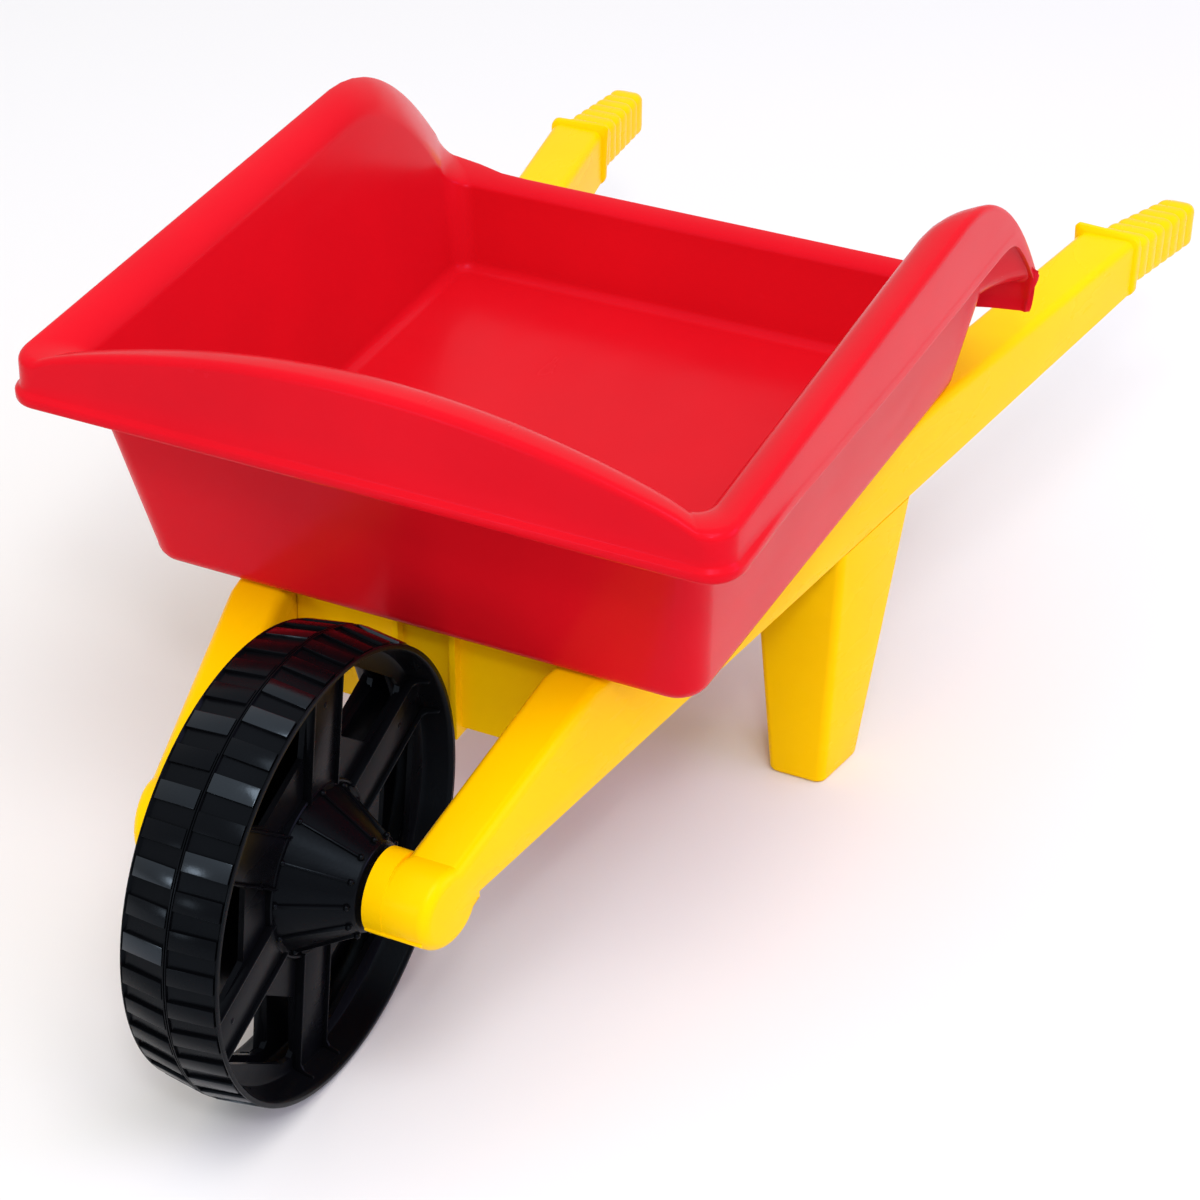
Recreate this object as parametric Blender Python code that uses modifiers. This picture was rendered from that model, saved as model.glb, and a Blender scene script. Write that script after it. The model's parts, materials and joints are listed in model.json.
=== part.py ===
"""Toy wheelbarrow: a red tray on a yellow two-rail frame, with one black wheel in two moulded halves.

Metres, +Z up, -Y is the front (the wheel), +Y is the handles. The origin is on the floor under
the middle of the object's box. Places on the frame are given as distances behind the axle.
"""

import math

import bmesh
import bpy
from mathutils import Matrix, Vector

# Driving dimensions.
OVERALL_LENGTH = 0.7636
WHEEL_RADIUS = 0.098
WHEEL_HALF_WIDTH = 0.0212
GRIP_END = OVERALL_LENGTH - WHEEL_RADIUS  # behind the axle
AXLE_Y = WHEEL_RADIUS - OVERALL_LENGTH / 2
WALL = 0.0028
GAP = 0.0003

# Wheel.
TREAD_EDGE_RADIUS = 0.095
TREAD_GROOVES = 40
GROOVE_DEPTH = 0.0015
SPOKES = 6
SPOKE_TURN = math.radians(20.5)  # one spoke stands this far above the line from the axle to the handles
SPOKE_WIDTH = 0.022
WEB_LOW, WEB_HIGH = 0.005, 0.0075
SPOKE_HIGH = 0.0105
WINDOW_RADII = 0.053, 0.081
HUB_FOOT_RADIUS = 0.035
HUB_END = 0.0364
HUB_END_RADIUS = 0.0185
HUB_FINS = 12
BORE_RADIUS = 0.0044
WHEEL_SCREW_RADIUS = 0.046

# Axle and the bosses that hold it.
AXLE_RADIUS = 0.004
AXLE_HALF_LENGTH = 0.0600
BOSS_RADIUS = 0.0176
BOSS_INNER_X = 0.0390
SOCKET_DEPTH_X = 0.0610

# Side rails: straight planks that open out towards the handles.
RAIL_INNER_X0, RAIL_INNER_SLOPE = 0.046, 0.159
RAIL_OUTER_X0, RAIL_OUTER_SLOPE = 0.070, 0.169
RAIL_END = 0.573
ARM_TOP_END = 0.095  # the sloping top of the fork arm ends here
DECK_Z, DECK_SLOPE = 0.1479, 0.0105  # top of the rail at ARM_TOP_END
KEEL_START, KEEL_Z, KEEL_SLOPE = 0.0155, 0.0962, 0.047
RAIL_EDGE = 0.0045
ARM_SLOPE = 0.36  # of the fork arm's top
COLLAR_LENGTH, COLLAR_PROUD = 0.005, 0.0016

# Grip: inner x, outer x, low z and high z of its first and last sections.
GRIP_START = (0.1390, 0.1655, 0.1245, 0.1490)
GRIP_FINISH = (0.1560, 0.1728, 0.1095, 0.1337)
GRIP_RIDGES = 8
RIDGE_HEIGHT = 0.0011

# Legs: front and rear faces as (at the foot, at the rail).
LEG_FRONT, LEG_REAR = (0.2603, 0.2885), (0.2920, 0.3500)
LEG_INNER_X, LEG_FLARE, LEG_SPLAY = 0.0974, 0.0248, 0.0110
LEG_PLUG_Y, LEG_MOUTH_Y = (0.2930, 0.3450), (0.2985, 0.3395)
LEG_SCREW = (0.318, 0.126)

# Tray.
TRAY_FLOOR_Z = 0.1510
ROLL_HEIGHT, REAR_ROLL_HEIGHT = 0.012, 0.005
ROLL_CROWN = 0.78  # how far across the roll its crown lies
ROLL_EDGE = 0.005  # radius of the roll's outer edge
FRONT_CROWN_Z, CORNER_RIM_Z = 0.2880, 0.2620
RIM_SLOPE = 0.053
RIM_FALL_START, RIM_FALL = 0.315, 6.2
REAR_RIM_Z = 0.1985
SKIRT_LOW_Z, SIDE_LIP_LOW_Z, REAR_LIP_LOW_Z = 0.2415, 0.236, 0.178
BEAD = 0.0023
FLOOR_FILLET = 0.006
POST_RADIUS, POST_DEPTH = 0.0048, 0.0036

# Cross-members and screws.
FRONT_CROSS_Y, FRONT_CROSS_LOW_Z = (0.112, 0.138), 0.096
REAR_CROSS_Y, REAR_CROSS_LOW_Z = (0.356, 0.380), 0.119
CROSS_RIB_X, CROSS_RIB_PROUD = 0.0135, 0.0045
CROSS_SCREWS = {"front": (0.125, 0.122), "rear": (0.368, 0.134)}
TRAY_SCREWS = {"front": (0.045, 0.126), "rear": (0.060, 0.368)}
SCREW_SHANK_RADIUS, SCREW_HEAD_RADIUS, SCREW_HEAD_HEIGHT = 0.0016, 0.0042, 0.0024
SHANK_HOLE_RADIUS = 0.0020


def clear_scene():
    for obj in list(bpy.data.objects):
        bpy.data.objects.remove(obj)


def new_collection(name):
    made = bpy.data.collections.new(name)
    bpy.context.scene.collection.children.link(made)
    return made


def plastic(name, colour, roughness):
    material = bpy.data.materials.new(name)
    material.use_nodes = True
    shader = material.node_tree.nodes["Principled BSDF"]
    shader.inputs["Base Color"].default_value = (*colour, 1.0)
    shader.inputs["Roughness"].default_value = roughness
    return material


def steel(name):
    material = plastic(name, (0.62, 0.62, 0.60), 0.35)
    material.node_tree.nodes["Principled BSDF"].inputs["Metallic"].default_value = 1.0
    return material


def datum(name, location):
    empty = bpy.data.objects.new(name, None)
    empty.location = location
    parts.objects.link(empty)
    return empty


def make_object(name, mesh, collection, parent, material=None):
    obj = bpy.data.objects.new(name, mesh)
    collection.objects.link(obj)
    obj.parent = parent
    if material and not mesh.materials:
        mesh.materials.append(material)
    return obj


def part(name, bm, parent, material):
    """A sub-part from a bmesh, shaded smooth with its corners kept sharp."""
    mesh = bpy.data.meshes.new(name)
    bm.to_mesh(mesh)
    bm.free()
    mesh.shade_smooth()
    mesh.set_sharp_from_angle(angle=math.radians(35))
    return make_object(name, mesh, parts, parent, material)


def helper(name, bm, parent):
    """A shape that only cuts or joins another one."""
    mesh = bpy.data.meshes.new(name)
    bm.to_mesh(mesh)
    bm.free()
    obj = make_object(name, mesh, cutters, parent)
    obj.hide_render = True
    obj.display_type = "WIRE"
    return obj


def boolean(target, other, operation):
    modifier = target.modifiers.new(other.name, "BOOLEAN")
    modifier.operation = operation
    modifier.solver = "EXACT"
    modifier.object = other


def cut(target, other):
    boolean(target, other, "DIFFERENCE")


def join(target, other):
    boolean(target, other, "UNION")


def to_side(bm, side):
    """Mirrors a shape made on the +X side when side is -1."""
    if side < 0:
        bmesh.ops.scale(bm, vec=(-1, 1, 1), verts=bm.verts)
        bmesh.ops.reverse_faces(bm, faces=bm.faces)
    return bm


def loft(rings):
    """A closed solid through rings of equal point count."""
    bm = bmesh.new()
    rows = [[bm.verts.new(point) for point in ring] for ring in rings]
    count = len(rows[0])
    for low, high in zip(rows, rows[1:]):
        for i in range(count):
            j = (i + 1) % count
            bm.faces.new((low[i], low[j], high[j], high[i]))
    bm.faces.new(rows[0][::-1])
    bm.faces.new(rows[-1])
    bmesh.ops.recalc_face_normals(bm, faces=bm.faces)
    return bm


def rounded_quad(corners, radius, steps=2):
    """Four corners (Vectors, in order) with each turned into a short arc of points."""
    points = []
    for i, corner in enumerate(corners):
        before = (corners[i - 1] - corner).normalized() * radius
        after = (corners[(i + 1) % 4] - corner).normalized() * radius
        for k in range(steps + 1):
            turn = math.pi / 2 * k / steps
            points.append(corner + before * (1 - math.sin(turn)) + after * (1 - math.cos(turn)))
    return points


def box(low, high):
    bm = bmesh.new()
    bmesh.ops.create_cube(bm, size=1)
    low, high = Vector(low), Vector(high)
    bmesh.ops.scale(bm, vec=high - low, verts=bm.verts)
    bmesh.ops.translate(bm, vec=(low + high) / 2, verts=bm.verts)
    return bm


def cylinder_x(radius, start, end, y, z, segments=24):
    """A cylinder along X from start to end."""
    bm = bmesh.new()
    turn = Matrix.Rotation(math.pi / 2, 4, "Y")
    place = Matrix.Translation(((start + end) / 2, y, z))
    bmesh.ops.create_cone(
        bm, cap_ends=True, segments=segments, radius1=radius, radius2=radius,
        depth=end - start, matrix=place @ turn,
    )
    return bm


def cylinder_z(radius, low, high, x, y, segments=16):
    bm = bmesh.new()
    place = Matrix.Translation((x, y, (low + high) / 2))
    bmesh.ops.create_cone(
        bm, cap_ends=True, segments=segments, radius1=radius, radius2=radius,
        depth=high - low, matrix=place,
    )
    return bm


def merged(shapes):
    """Several separate bmeshes as one."""
    whole = bmesh.new()
    for shape in shapes:
        mesh = bpy.data.meshes.new("piece")
        shape.to_mesh(mesh)
        shape.free()
        whole.from_mesh(mesh)
        bpy.data.meshes.remove(mesh)
    return whole


def turned(name, profile, steps, parent, material):
    """A profile of (radius, height) points turned about the object's own Z axis."""
    bm = bmesh.new()
    verts = [bm.verts.new((radius, 0, height)) for radius, height in profile]
    closed = profile[0][0] > 0
    for a, b in zip(verts, verts[1:]):
        bm.edges.new((a, b))
    if closed:
        bm.edges.new((verts[-1], verts[0]))
    mesh = bpy.data.meshes.new(name)
    bm.to_mesh(mesh)
    bm.free()
    obj = make_object(name, mesh, parts, parent, material)
    screw = obj.modifiers.new("turn", "SCREW")
    screw.steps = steps
    screw.render_steps = steps
    screw.use_merge_vertices = True
    screw.merge_threshold = 0.00001
    return obj


# Side rails, each with its fork arm, axle boss, collar and grip in one moulding.


def rail_inner_x(y):
    return RAIL_INNER_X0 + RAIL_INNER_SLOPE * y


def rail_outer_x(y):
    return RAIL_OUTER_X0 + RAIL_OUTER_SLOPE * y


def deck_z(y):
    return DECK_Z + DECK_SLOPE * (y - ARM_TOP_END)


def keel_z(y):
    return KEEL_Z + KEEL_SLOPE * (y - KEEL_START)


def arm_top_z(y):
    return WHEEL_RADIUS + BOSS_RADIUS + ARM_SLOPE * max(y, 0)


def lies_on_rim(edge):
    """Whether an edge follows a plank's outline, rather than crossing from face to face."""
    a, b = (vert.co for vert in edge.verts)
    return (a - b).length > 1e-6 and abs(a.x - b.x) < 0.5 * math.hypot(a.y - b.y, a.z - b.z)


def to_round(edge, above):
    """The top rims, and the outer rim round the boss."""
    ends = [vert.co for vert in edge.verts]
    on_top = all(end.z > above(end.y) for end in ends)
    round_boss = all(end.y < KEEL_START + 0.001 and end.x > RAIL_OUTER_X0 - 0.012 for end in ends)
    return on_top or round_boss


def plank(outline, side, inset=0.0, rounded_above=None):
    """A side-view outline of (y, z) points as a plank between the rail's inner and outer faces."""
    bm = bmesh.new()
    verts = [bm.verts.new((0, y, z)) for y, z in outline]
    face = bm.faces.new(verts)
    grown = bmesh.ops.extrude_face_region(bm, geom=[face])
    outer = [item for item in grown["geom"] if isinstance(item, bmesh.types.BMVert)]
    for vert in verts:
        vert.co.x = rail_inner_x(vert.co.y) + inset
    for vert in outer:
        vert.co.x = rail_outer_x(vert.co.y) - inset
    bmesh.ops.recalc_face_normals(bm, faces=bm.faces)
    if rounded_above:
        rims = [edge for edge in bm.edges if lies_on_rim(edge) and to_round(edge, rounded_above)]
        bmesh.ops.bevel(bm, geom=rims, offset=RAIL_EDGE, segments=3, profile=0.5, affect="EDGES")
    return to_side(bm, side)


def rail_outline():
    """Boss circle, sloping fork arm, straight deck and straight keel."""
    start = math.atan2(KEEL_Z - WHEEL_RADIUS, KEEL_START)
    end = math.radians(70) - 2 * math.pi
    arc = []
    for i in range(15):
        turn = start + (end - start) * i / 14
        arc.append((BOSS_RADIUS * math.cos(turn), WHEEL_RADIUS + BOSS_RADIUS * math.sin(turn)))
    arc.append((ARM_TOP_END, deck_z(ARM_TOP_END)))
    return arc + [(RAIL_END, deck_z(RAIL_END)), (RAIL_END, keel_z(RAIL_END))]


def channel_outline():
    """The hollow under the deck, open below."""
    front, rear = 0.026, RAIL_END - 0.006
    below = 0.05
    slope_z = arm_top_z(front) - 0.0035
    return [
        (front, below),
        (front, slope_z),
        (ARM_TOP_END, deck_z(ARM_TOP_END) - WALL),
        (rear, deck_z(rear) - WALL),
        (rear, below),
    ]


def section_corners(inner, outer, low, high, y):
    """Corners of an upright section across the rail."""
    return [Vector((x, y, z)) for x, z in ((inner, low), (outer, low), (outer, high), (inner, high))]


def collar(side):
    y0, y1 = RAIL_END - COLLAR_LENGTH, RAIL_END
    bevel = COLLAR_PROUD / 2
    sections = (
        (y0 - 0.0004, -bevel),
        (y0 + 0.0010, COLLAR_PROUD),
        (y1, COLLAR_PROUD),
        (y1 + 0.0010, COLLAR_PROUD - bevel),
    )
    rings = []
    for y, grow in sections:
        inner, outer = rail_inner_x(y) - grow, rail_outer_x(y) + grow
        low, high = keel_z(y) - grow, deck_z(y) + grow
        rings.append(rounded_quad(section_corners(inner, outer, low, high, y), RAIL_EDGE))
    return to_side(loft(rings), side)


def grip(side):
    """A tapered bar that droops, with rounded cross ridges."""
    start, end = RAIL_END - 0.002, GRIP_END
    rows = 4 * GRIP_RIDGES
    rings = []
    for i in range(rows + 1):
        t = i / rows
        inner, outer, low, high = [a + (b - a) * t for a, b in zip(GRIP_START, GRIP_FINISH)]
        ridge = RIDGE_HEIGHT * abs(math.sin(math.pi * GRIP_RIDGES * t)) if 0.06 < t else 0
        y = start + (end - start) * t
        corners = section_corners(inner - ridge, outer + ridge, low, high + ridge, y)
        rings.append(rounded_quad(corners, RAIL_EDGE))
    return to_side(loft(rings), side)


def just_below_top(y):
    return min(deck_z(y), arm_top_z(y)) - 0.006


def side_rail(side, name):
    label = "right" if side > 0 else "left"
    body = plank(rail_outline(), side, rounded_above=just_below_top)
    rail = part(name, body, ground_under_axle, yellow)
    boss = cylinder_x(BOSS_RADIUS, BOSS_INNER_X, RAIL_INNER_X0 + 0.006, 0, WHEEL_RADIUS, 32)
    join(rail, helper(f"{label}_boss", to_side(boss, side), ground_under_axle))
    join(rail, helper(f"{label}_collar", collar(side), ground_under_axle))
    join(rail, helper(f"{label}_grip", grip(side), ground_under_axle))
    cut(rail, helper(f"{label}_channel", plank(channel_outline(), side, inset=WALL), ground_under_axle))
    socket = to_side(cylinder_x(AXLE_RADIUS + GAP, 0.030, SOCKET_DEPTH_X, 0, WHEEL_RADIUS, 20), side)
    cut(rail, helper(f"{label}_axle_socket", socket, ground_under_axle))
    holes = []
    for y, z in (*CROSS_SCREWS.values(), LEG_SCREW):
        inner = rail_inner_x(y)
        holes.append(to_side(cylinder_x(SHANK_HOLE_RADIUS, inner - 0.003, inner + 0.006, y, z, 12), side))
    cut(rail, helper(f"{label}_rail_holes", merged(holes), ground_under_axle))
    return rail


# Legs: tapered hollow legs that plug up into the rails. Their inner side flares, beside the rail.


def leg_ring(z, front, rear, inner_front, outer_front, inner_rear, outer_rear, radius):
    """A slice whose height is z(y)."""
    places = ((inner_front, front), (outer_front, front), (outer_rear, rear), (inner_rear, rear))
    return rounded_quad([Vector((x, y, z(y))) for x, y in places], radius)


def leg_section(t, shrink=0.0):
    """A slice of the leg, from the foot (t = 0) to the rail (t = 1). The inner side flares as it rises."""
    front = LEG_FRONT[0] + (LEG_FRONT[1] - LEG_FRONT[0]) * t + shrink
    rear = LEG_REAR[0] + (LEG_REAR[1] - LEG_REAR[0]) * t - shrink
    splay = LEG_SPLAY * (1 - t)
    height = lambda y: (keel_z(y) - GAP) * t
    inner = LEG_INNER_X - LEG_FLARE * t + shrink
    return leg_ring(
        height, front, rear, inner, rail_outer_x(front) + splay - shrink,
        inner + RAIL_INNER_SLOPE * (rear - front), rail_outer_x(rear) + splay - shrink, 0.004,
    )


def flare_block(shrink, top_drop, low_drop):
    """The flared part of the leg that stands beside the rail, up to the tray."""
    front, rear = LEG_FRONT[1] + 0.0005 + shrink, LEG_REAR[1] - 0.0005 - shrink
    rings = []
    for z in (lambda y: keel_z(y) - GAP - 0.012 - low_drop, lambda y: deck_z(y) - 0.001 - top_drop):
        inner = LEG_INNER_X - LEG_FLARE - 0.0010 + shrink
        outer_gap = 0.0004 + shrink
        rings.append(leg_ring(
            z, front, rear, inner, rail_inner_x(front) - outer_gap,
            inner + RAIL_INNER_SLOPE * (rear - front), rail_inner_x(rear) - outer_gap, 0.003,
        ))
    return loft(rings)


def inside_rail(y_span, clear, heights):
    """A block between the rail's side walls, from one height above the keel to another."""
    front, rear = y_span
    rings = []
    for height in heights:
        rings.append(leg_ring(
            lambda y, height=height: keel_z(y) + height, front, rear,
            rail_inner_x(front) + clear, rail_outer_x(front) - clear,
            rail_inner_x(rear) + clear, rail_outer_x(rear) - clear, 0.003,
        ))
    return loft(rings)


def leg(side, name):
    label = "right" if side > 0 else "left"
    rings = [leg_section(0.0, 0.0028), leg_section(0.022, 0.0006), leg_section(0.06), leg_section(1.0)]
    obj = part(name, to_side(loft(rings), side), ground_under_axle, yellow)
    join(obj, helper(f"{label}_leg_flare", to_side(flare_block(0.0, 0.0, 0.0), side), ground_under_axle))
    plug = inside_rail(LEG_PLUG_Y, WALL + GAP, (-0.004, 0.026))
    join(obj, helper(f"{label}_leg_plug", to_side(plug, side), ground_under_axle))
    bore = loft([leg_section(0.035, WALL), leg_section(0.90, WALL)])
    cut(obj, helper(f"{label}_leg_bore", to_side(bore, side), ground_under_axle))
    mouth = inside_rail(LEG_MOUTH_Y, 2 * WALL - 0.0001, (-0.014, 0.035))
    cut(obj, helper(f"{label}_leg_mouth", to_side(mouth, side), ground_under_axle))
    hollow = flare_block(WALL, -0.004, 0.004)
    cut(obj, helper(f"{label}_flare_hollow", to_side(hollow, side), ground_under_axle))
    y, z = LEG_SCREW
    inner = rail_inner_x(y)
    hole = to_side(cylinder_x(SHANK_HOLE_RADIUS, inner - 0.006, inner + 0.012, y, z, 12), side)
    head = to_side(cylinder_x(SCREW_HEAD_RADIUS + 0.0005, inner - 0.010, inner - 0.0002, y, z, 16), side)
    cut(obj, helper(f"{label}_leg_hole", hole, ground_under_axle))
    cut(obj, helper(f"{label}_leg_head_hole", head, ground_under_axle))
    return obj


# Cross-members: channels open below, screwed between the rails.


def cross_member(name, y_span, low_z, ribs):
    y0, y1 = y_span
    top = lambda y: deck_z(y) - 0.0002
    reach = lambda y, inset: rail_inner_x(y) - 0.0004 - inset

    def tub(inset, low, drop):
        front, rear = y0 + inset, y1 - inset
        places = [(-1, front), (1, front), (1, rear), (-1, rear)]
        plan = [(end * reach(y, inset), y) for end, y in places]
        bottom = [Vector((x, y, low)) for x, y in plan]
        return loft([bottom, [Vector((x, y, top(y) - drop)) for x, y in plan]])

    obj = part(name, tub(0.0, low_z, 0.0), ground_under_axle, yellow)
    cut(obj, helper(f"{name}_hollow", tub(WALL, low_z - 0.02, WALL), ground_under_axle))
    if ribs:
        plates = []
        for x in (-CROSS_RIB_X, CROSS_RIB_X):
            low = (x - 0.0015, y0 - CROSS_RIB_PROUD, low_z - 0.004)
            plates.append(box(low, (x + 0.0015, y0 + 0.006, top(y0) - 0.0005)))
        join(obj, helper(f"{name}_ribs", merged(plates), ground_under_axle))
    holes = []
    place = "front" if ribs else "rear"
    x, y = TRAY_SCREWS[place]
    screw_y, screw_z = CROSS_SCREWS[place]
    wall_x = rail_inner_x(screw_y)
    for side in (-1, 1):
        holes.append(cylinder_z(POST_RADIUS + 0.0004, top(y) - 0.006, top(y) + 0.004, side * x, y, 20))
        hole = cylinder_x(SHANK_HOLE_RADIUS, wall_x - 0.008, wall_x + 0.003, screw_y, screw_z, 12)
        holes.append(to_side(hole, side))
    cut(obj, helper(f"{name}_holes", merged(holes), ground_under_axle))
    return obj


# Tray: one shell from the floor, up the walls, over the rolled rim and down its lip.


class Outline:
    """One level of the tray in plan: half-widths, ends and corner radii."""

    def __init__(self, half_front, half_rear, front, rear, radius_front, radius_rear):
        self.values = (half_front, half_rear, front, rear, radius_front, radius_rear)

    def mixed(self, other, t):
        return Outline(*[a + (b - a) * t for a, b in zip(self.values, other.values)])

    def grown(self, by):
        signs = (1, 1, -1, 1, 1, 1)
        return Outline(*[value + sign * by for value, sign in zip(self.values, signs)])

    def point(self, stretch, t):
        half_front, half_rear, front, rear, radius_front, radius_rear = self.values
        if stretch == "front":
            return t * (half_front - radius_front), front
        if stretch == "front_corner":
            turn = math.pi / 2 * (t - 1)
            x = half_front - radius_front * (1 - math.cos(turn))
            return x, front + radius_front * (1 + math.sin(turn))
        if stretch == "side":
            start, end = front + radius_front, rear - radius_rear
            return half_front + (half_rear - half_front) * t, start + (end - start) * t
        if stretch == "rear_corner":
            turn = math.pi / 2 * t
            x = half_rear - radius_rear * (1 - math.cos(turn))
            return x, rear - radius_rear * (1 - math.sin(turn))
        return (1 - t) * (half_rear - radius_rear), rear


FLOOR_EDGE = Outline(0.1265, 0.1310, 0.0995, 0.3905, 0.012, 0.010)
WALL_TOP = Outline(0.1375, 0.1385, 0.0785, 0.3995, 0.016, 0.012)
LIP = Outline(0.1575, 0.1575, 0.0545, 0.4165, 0.012, 0.007)
LIP_LOW = Outline(0.1577, 0.1577, 0.0542, 0.4270, 0.012, 0.007)


def tray_stations():
    stations = [("front", i / 7) for i in range(7)]
    stations += [("front_corner", i / 4) for i in range(4)]
    stations += [("side", t) for t in (0, 0.25, 0.5, 0.66, 0.75, 0.81, 0.86, 0.91, 0.96)]
    stations += [("rear_corner", i / 4) for i in range(4)]
    stations += [("rear", t) for t in (0, 0.5, 1)]
    return stations


def rim_z(stretch, t):
    """Top of the rolled rim at a station."""
    if stretch == "rear":
        return REAR_RIM_Z
    if stretch == "rear_corner":
        return rim_z("side", 1) + (REAR_RIM_Z - rim_z("side", 1)) * math.sin(math.pi / 2 * t)
    x, y = LIP.point(stretch, t)
    if stretch == "front":
        return FRONT_CROWN_Z - (FRONT_CROWN_Z - CORNER_RIM_Z) * (x / 0.150) ** 2
    fall = RIM_FALL * max(0.0, y - RIM_FALL_START) ** 2
    return CORNER_RIM_Z + RIM_SLOPE * (min(y, RIM_FALL_START) - 0.0545) - fall


def roll_height(stretch, t):
    """The roll flattens into a flange along the rear."""
    flattened = {
        "rear": 1.0,
        "rear_corner": 0.5 + 0.5 * t,
        "side": 0.5 * max(0.0, (t - 0.85) / 0.15),
    }
    return ROLL_HEIGHT + (REAR_ROLL_HEIGHT - ROLL_HEIGHT) * flattened.get(stretch, 0.0)


def lip_low_z(stretch, t):
    """Lower edge of the lip: level in front, under the falling rim along the sides, low across the rear."""
    if stretch in ("front", "front_corner"):
        return SKIRT_LOW_Z
    if stretch == "rear":
        return REAR_LIP_LOW_Z
    if stretch == "rear_corner":
        side_end = lip_low_z("side", 1)
        return side_end + (REAR_LIP_LOW_Z - side_end) * min(1.0, 3 * t)
    _, y = LIP.point(stretch, t)
    slide = min(1.0, max(0.0, (y - 0.07) / 0.2))
    level = SKIRT_LOW_Z + (SIDE_LIP_LOW_Z - SKIRT_LOW_Z) * slide
    return min(level, rim_z(stretch, t) - 0.0085)


def tray_floor_z(y):
    return TRAY_FLOOR_Z + DECK_SLOPE * (y - ARM_TOP_END)


def tray_levels():
    """(outline, height function) from the floor outwards: floor, fillet, roll, lip, bead."""

    def below_rim(drop, roll_share=0.0):
        return lambda s, t, y: rim_z(s, t) - drop - roll_share * roll_height(s, t)

    def above_lip(rise, clear):
        return lambda s, t, y: min(lip_low_z(s, t) + rise, rim_z(s, t) - clear)

    levels = []
    for inward, rise in ((1.0, 0.0), (0.3, 0.3), (0.0, 1.0)):
        outline = FLOOR_EDGE.grown(-inward * FLOOR_FILLET)
        levels.append((outline, lambda s, t, y, rise=rise: tray_floor_z(y) + rise * FLOOR_FILLET))
    for turn in (0, 25, 50, 75):
        phase = math.radians(turn)
        across = ROLL_CROWN * (1 - math.cos(phase))
        levels.append((WALL_TOP.mixed(LIP, across), below_rim(0.0, 1 - math.sin(phase))))
    for turn in (0, 30, 60, 90):
        phase = math.radians(turn)
        across = ROLL_CROWN + (1 - ROLL_CROWN) * math.sin(phase)
        levels.append((WALL_TOP.mixed(LIP, across), below_rim(ROLL_EDGE * (1 - math.cos(phase)))))
    levels.append((LIP_LOW, above_lip(0.006, 0.0056)))
    levels.append((LIP_LOW.grown(BEAD), above_lip(0.004, 0.0066)))
    levels.append((LIP_LOW.grown(BEAD), lambda s, t, y: lip_low_z(s, t)))
    return levels


def tray():
    bm = bmesh.new()
    rows = []
    for outline, height in tray_levels():
        row = []
        for stretch, t in tray_stations():
            x, y = outline.point(stretch, t)
            row.append(bm.verts.new((x, y, height(stretch, t, y))))
        rows.append(row)
    bm.faces.new(rows[0])
    for low, high in zip(rows, rows[1:]):
        for i in range(len(low) - 1):
            bm.faces.new((low[i], high[i], high[i + 1], low[i + 1]))
    bmesh.ops.recalc_face_normals(bm, faces=bm.faces)
    obj = part("tray", bm, ground_under_axle, red)
    mirror = obj.modifiers.new("mirror", "MIRROR")
    mirror.use_axis = (True, False, False)
    mirror.merge_threshold = 0.0001
    shell = obj.modifiers.new("shell", "SOLIDIFY")
    shell.thickness = WALL
    shell.offset = -1
    posts, holes = [], []
    for x, y in TRAY_SCREWS.values():
        under = tray_floor_z(y) - WALL
        for side in (-1, 1):
            posts.append(cylinder_z(POST_RADIUS, under - POST_DEPTH, under + 0.001, side * x, y, 16))
            holes.append(cylinder_z(SHANK_HOLE_RADIUS, under - 0.006, under + 0.0014, side * x, y, 12))
    join(obj, helper("tray_posts", merged(posts), ground_under_axle))
    cut(obj, helper("tray_screw_holes", merged(holes), ground_under_axle))
    return obj


# Wheel: two moulded halves, screwed together from the left.


def around(count, phase):
    for i in range(count):
        yield Matrix.Rotation(phase + 2 * math.pi * i / count, 4, "Z")


def prism(bm, outline, low, high, turn):
    """Adds a prism with an (x, y) outline between two heights, or between two outlines, turned about Z."""
    lower, upper = outline if isinstance(outline[0][0], tuple) else (outline, outline)
    rows = []
    for points, z in ((lower, low), (upper, high)):
        rows.append([bm.verts.new(turn @ Vector((x, y, z))) for x, y in points])
    count = len(lower)
    bm.faces.new(rows[0][::-1])
    bm.faces.new(rows[1])
    for i in range(count):
        j = (i + 1) % count
        bm.faces.new((rows[0][i], rows[0][j], rows[1][j], rows[1][i]))


def spoke_shapes(phase):
    bm = bmesh.new()
    half = SPOKE_WIDTH / 2
    outline = [(0.0325, -half), (0.0905, -half), (0.0905, half), (0.0325, half)]
    for turn in around(SPOKES, phase):
        prism(bm, outline, WEB_LOW + 0.0005, SPOKE_HIGH, turn)
    return bm


def window_shapes(phase):
    """A wedge window between each pair of spokes."""
    bm = bmesh.new()
    spread = math.tan(math.pi / SPOKES)
    margin = SPOKE_WIDTH / 2 / math.cos(math.pi / SPOKES) + 0.0016
    inner, outer = WINDOW_RADII
    low, high = inner * spread - margin, outer * spread - margin
    bevel = outer - 0.005
    right_edge = [(inner, low), (bevel, high), (outer, 0.6 * high)]
    outline = [(x, -y) for x, y in right_edge] + right_edge[::-1]
    for turn in around(SPOKES, phase + math.pi / SPOKES):
        prism(bm, outline, 0.003, 0.012, turn)
    return bm


def groove_shapes(phase):
    """Cutters for the low blocks of the tread, which follow its taper."""
    bm = bmesh.new()
    half = math.pi * WHEEL_RADIUS / TREAD_GROOVES / 2
    low, high = 0.0012, WHEEL_HALF_WIDTH + 0.003
    taper = (WHEEL_RADIUS - TREAD_EDGE_RADIUS) / WHEEL_HALF_WIDTH
    outlines = []
    for z in (low, high):
        floor, above = WHEEL_RADIUS - GROOVE_DEPTH - taper * z, WHEEL_RADIUS + 0.006
        outlines.append(((floor, -half), (above, -half), (above, half), (floor, half)))
    for turn in around(TREAD_GROOVES, phase):
        prism(bm, outlines, low, high, turn)
    return bm


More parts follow.
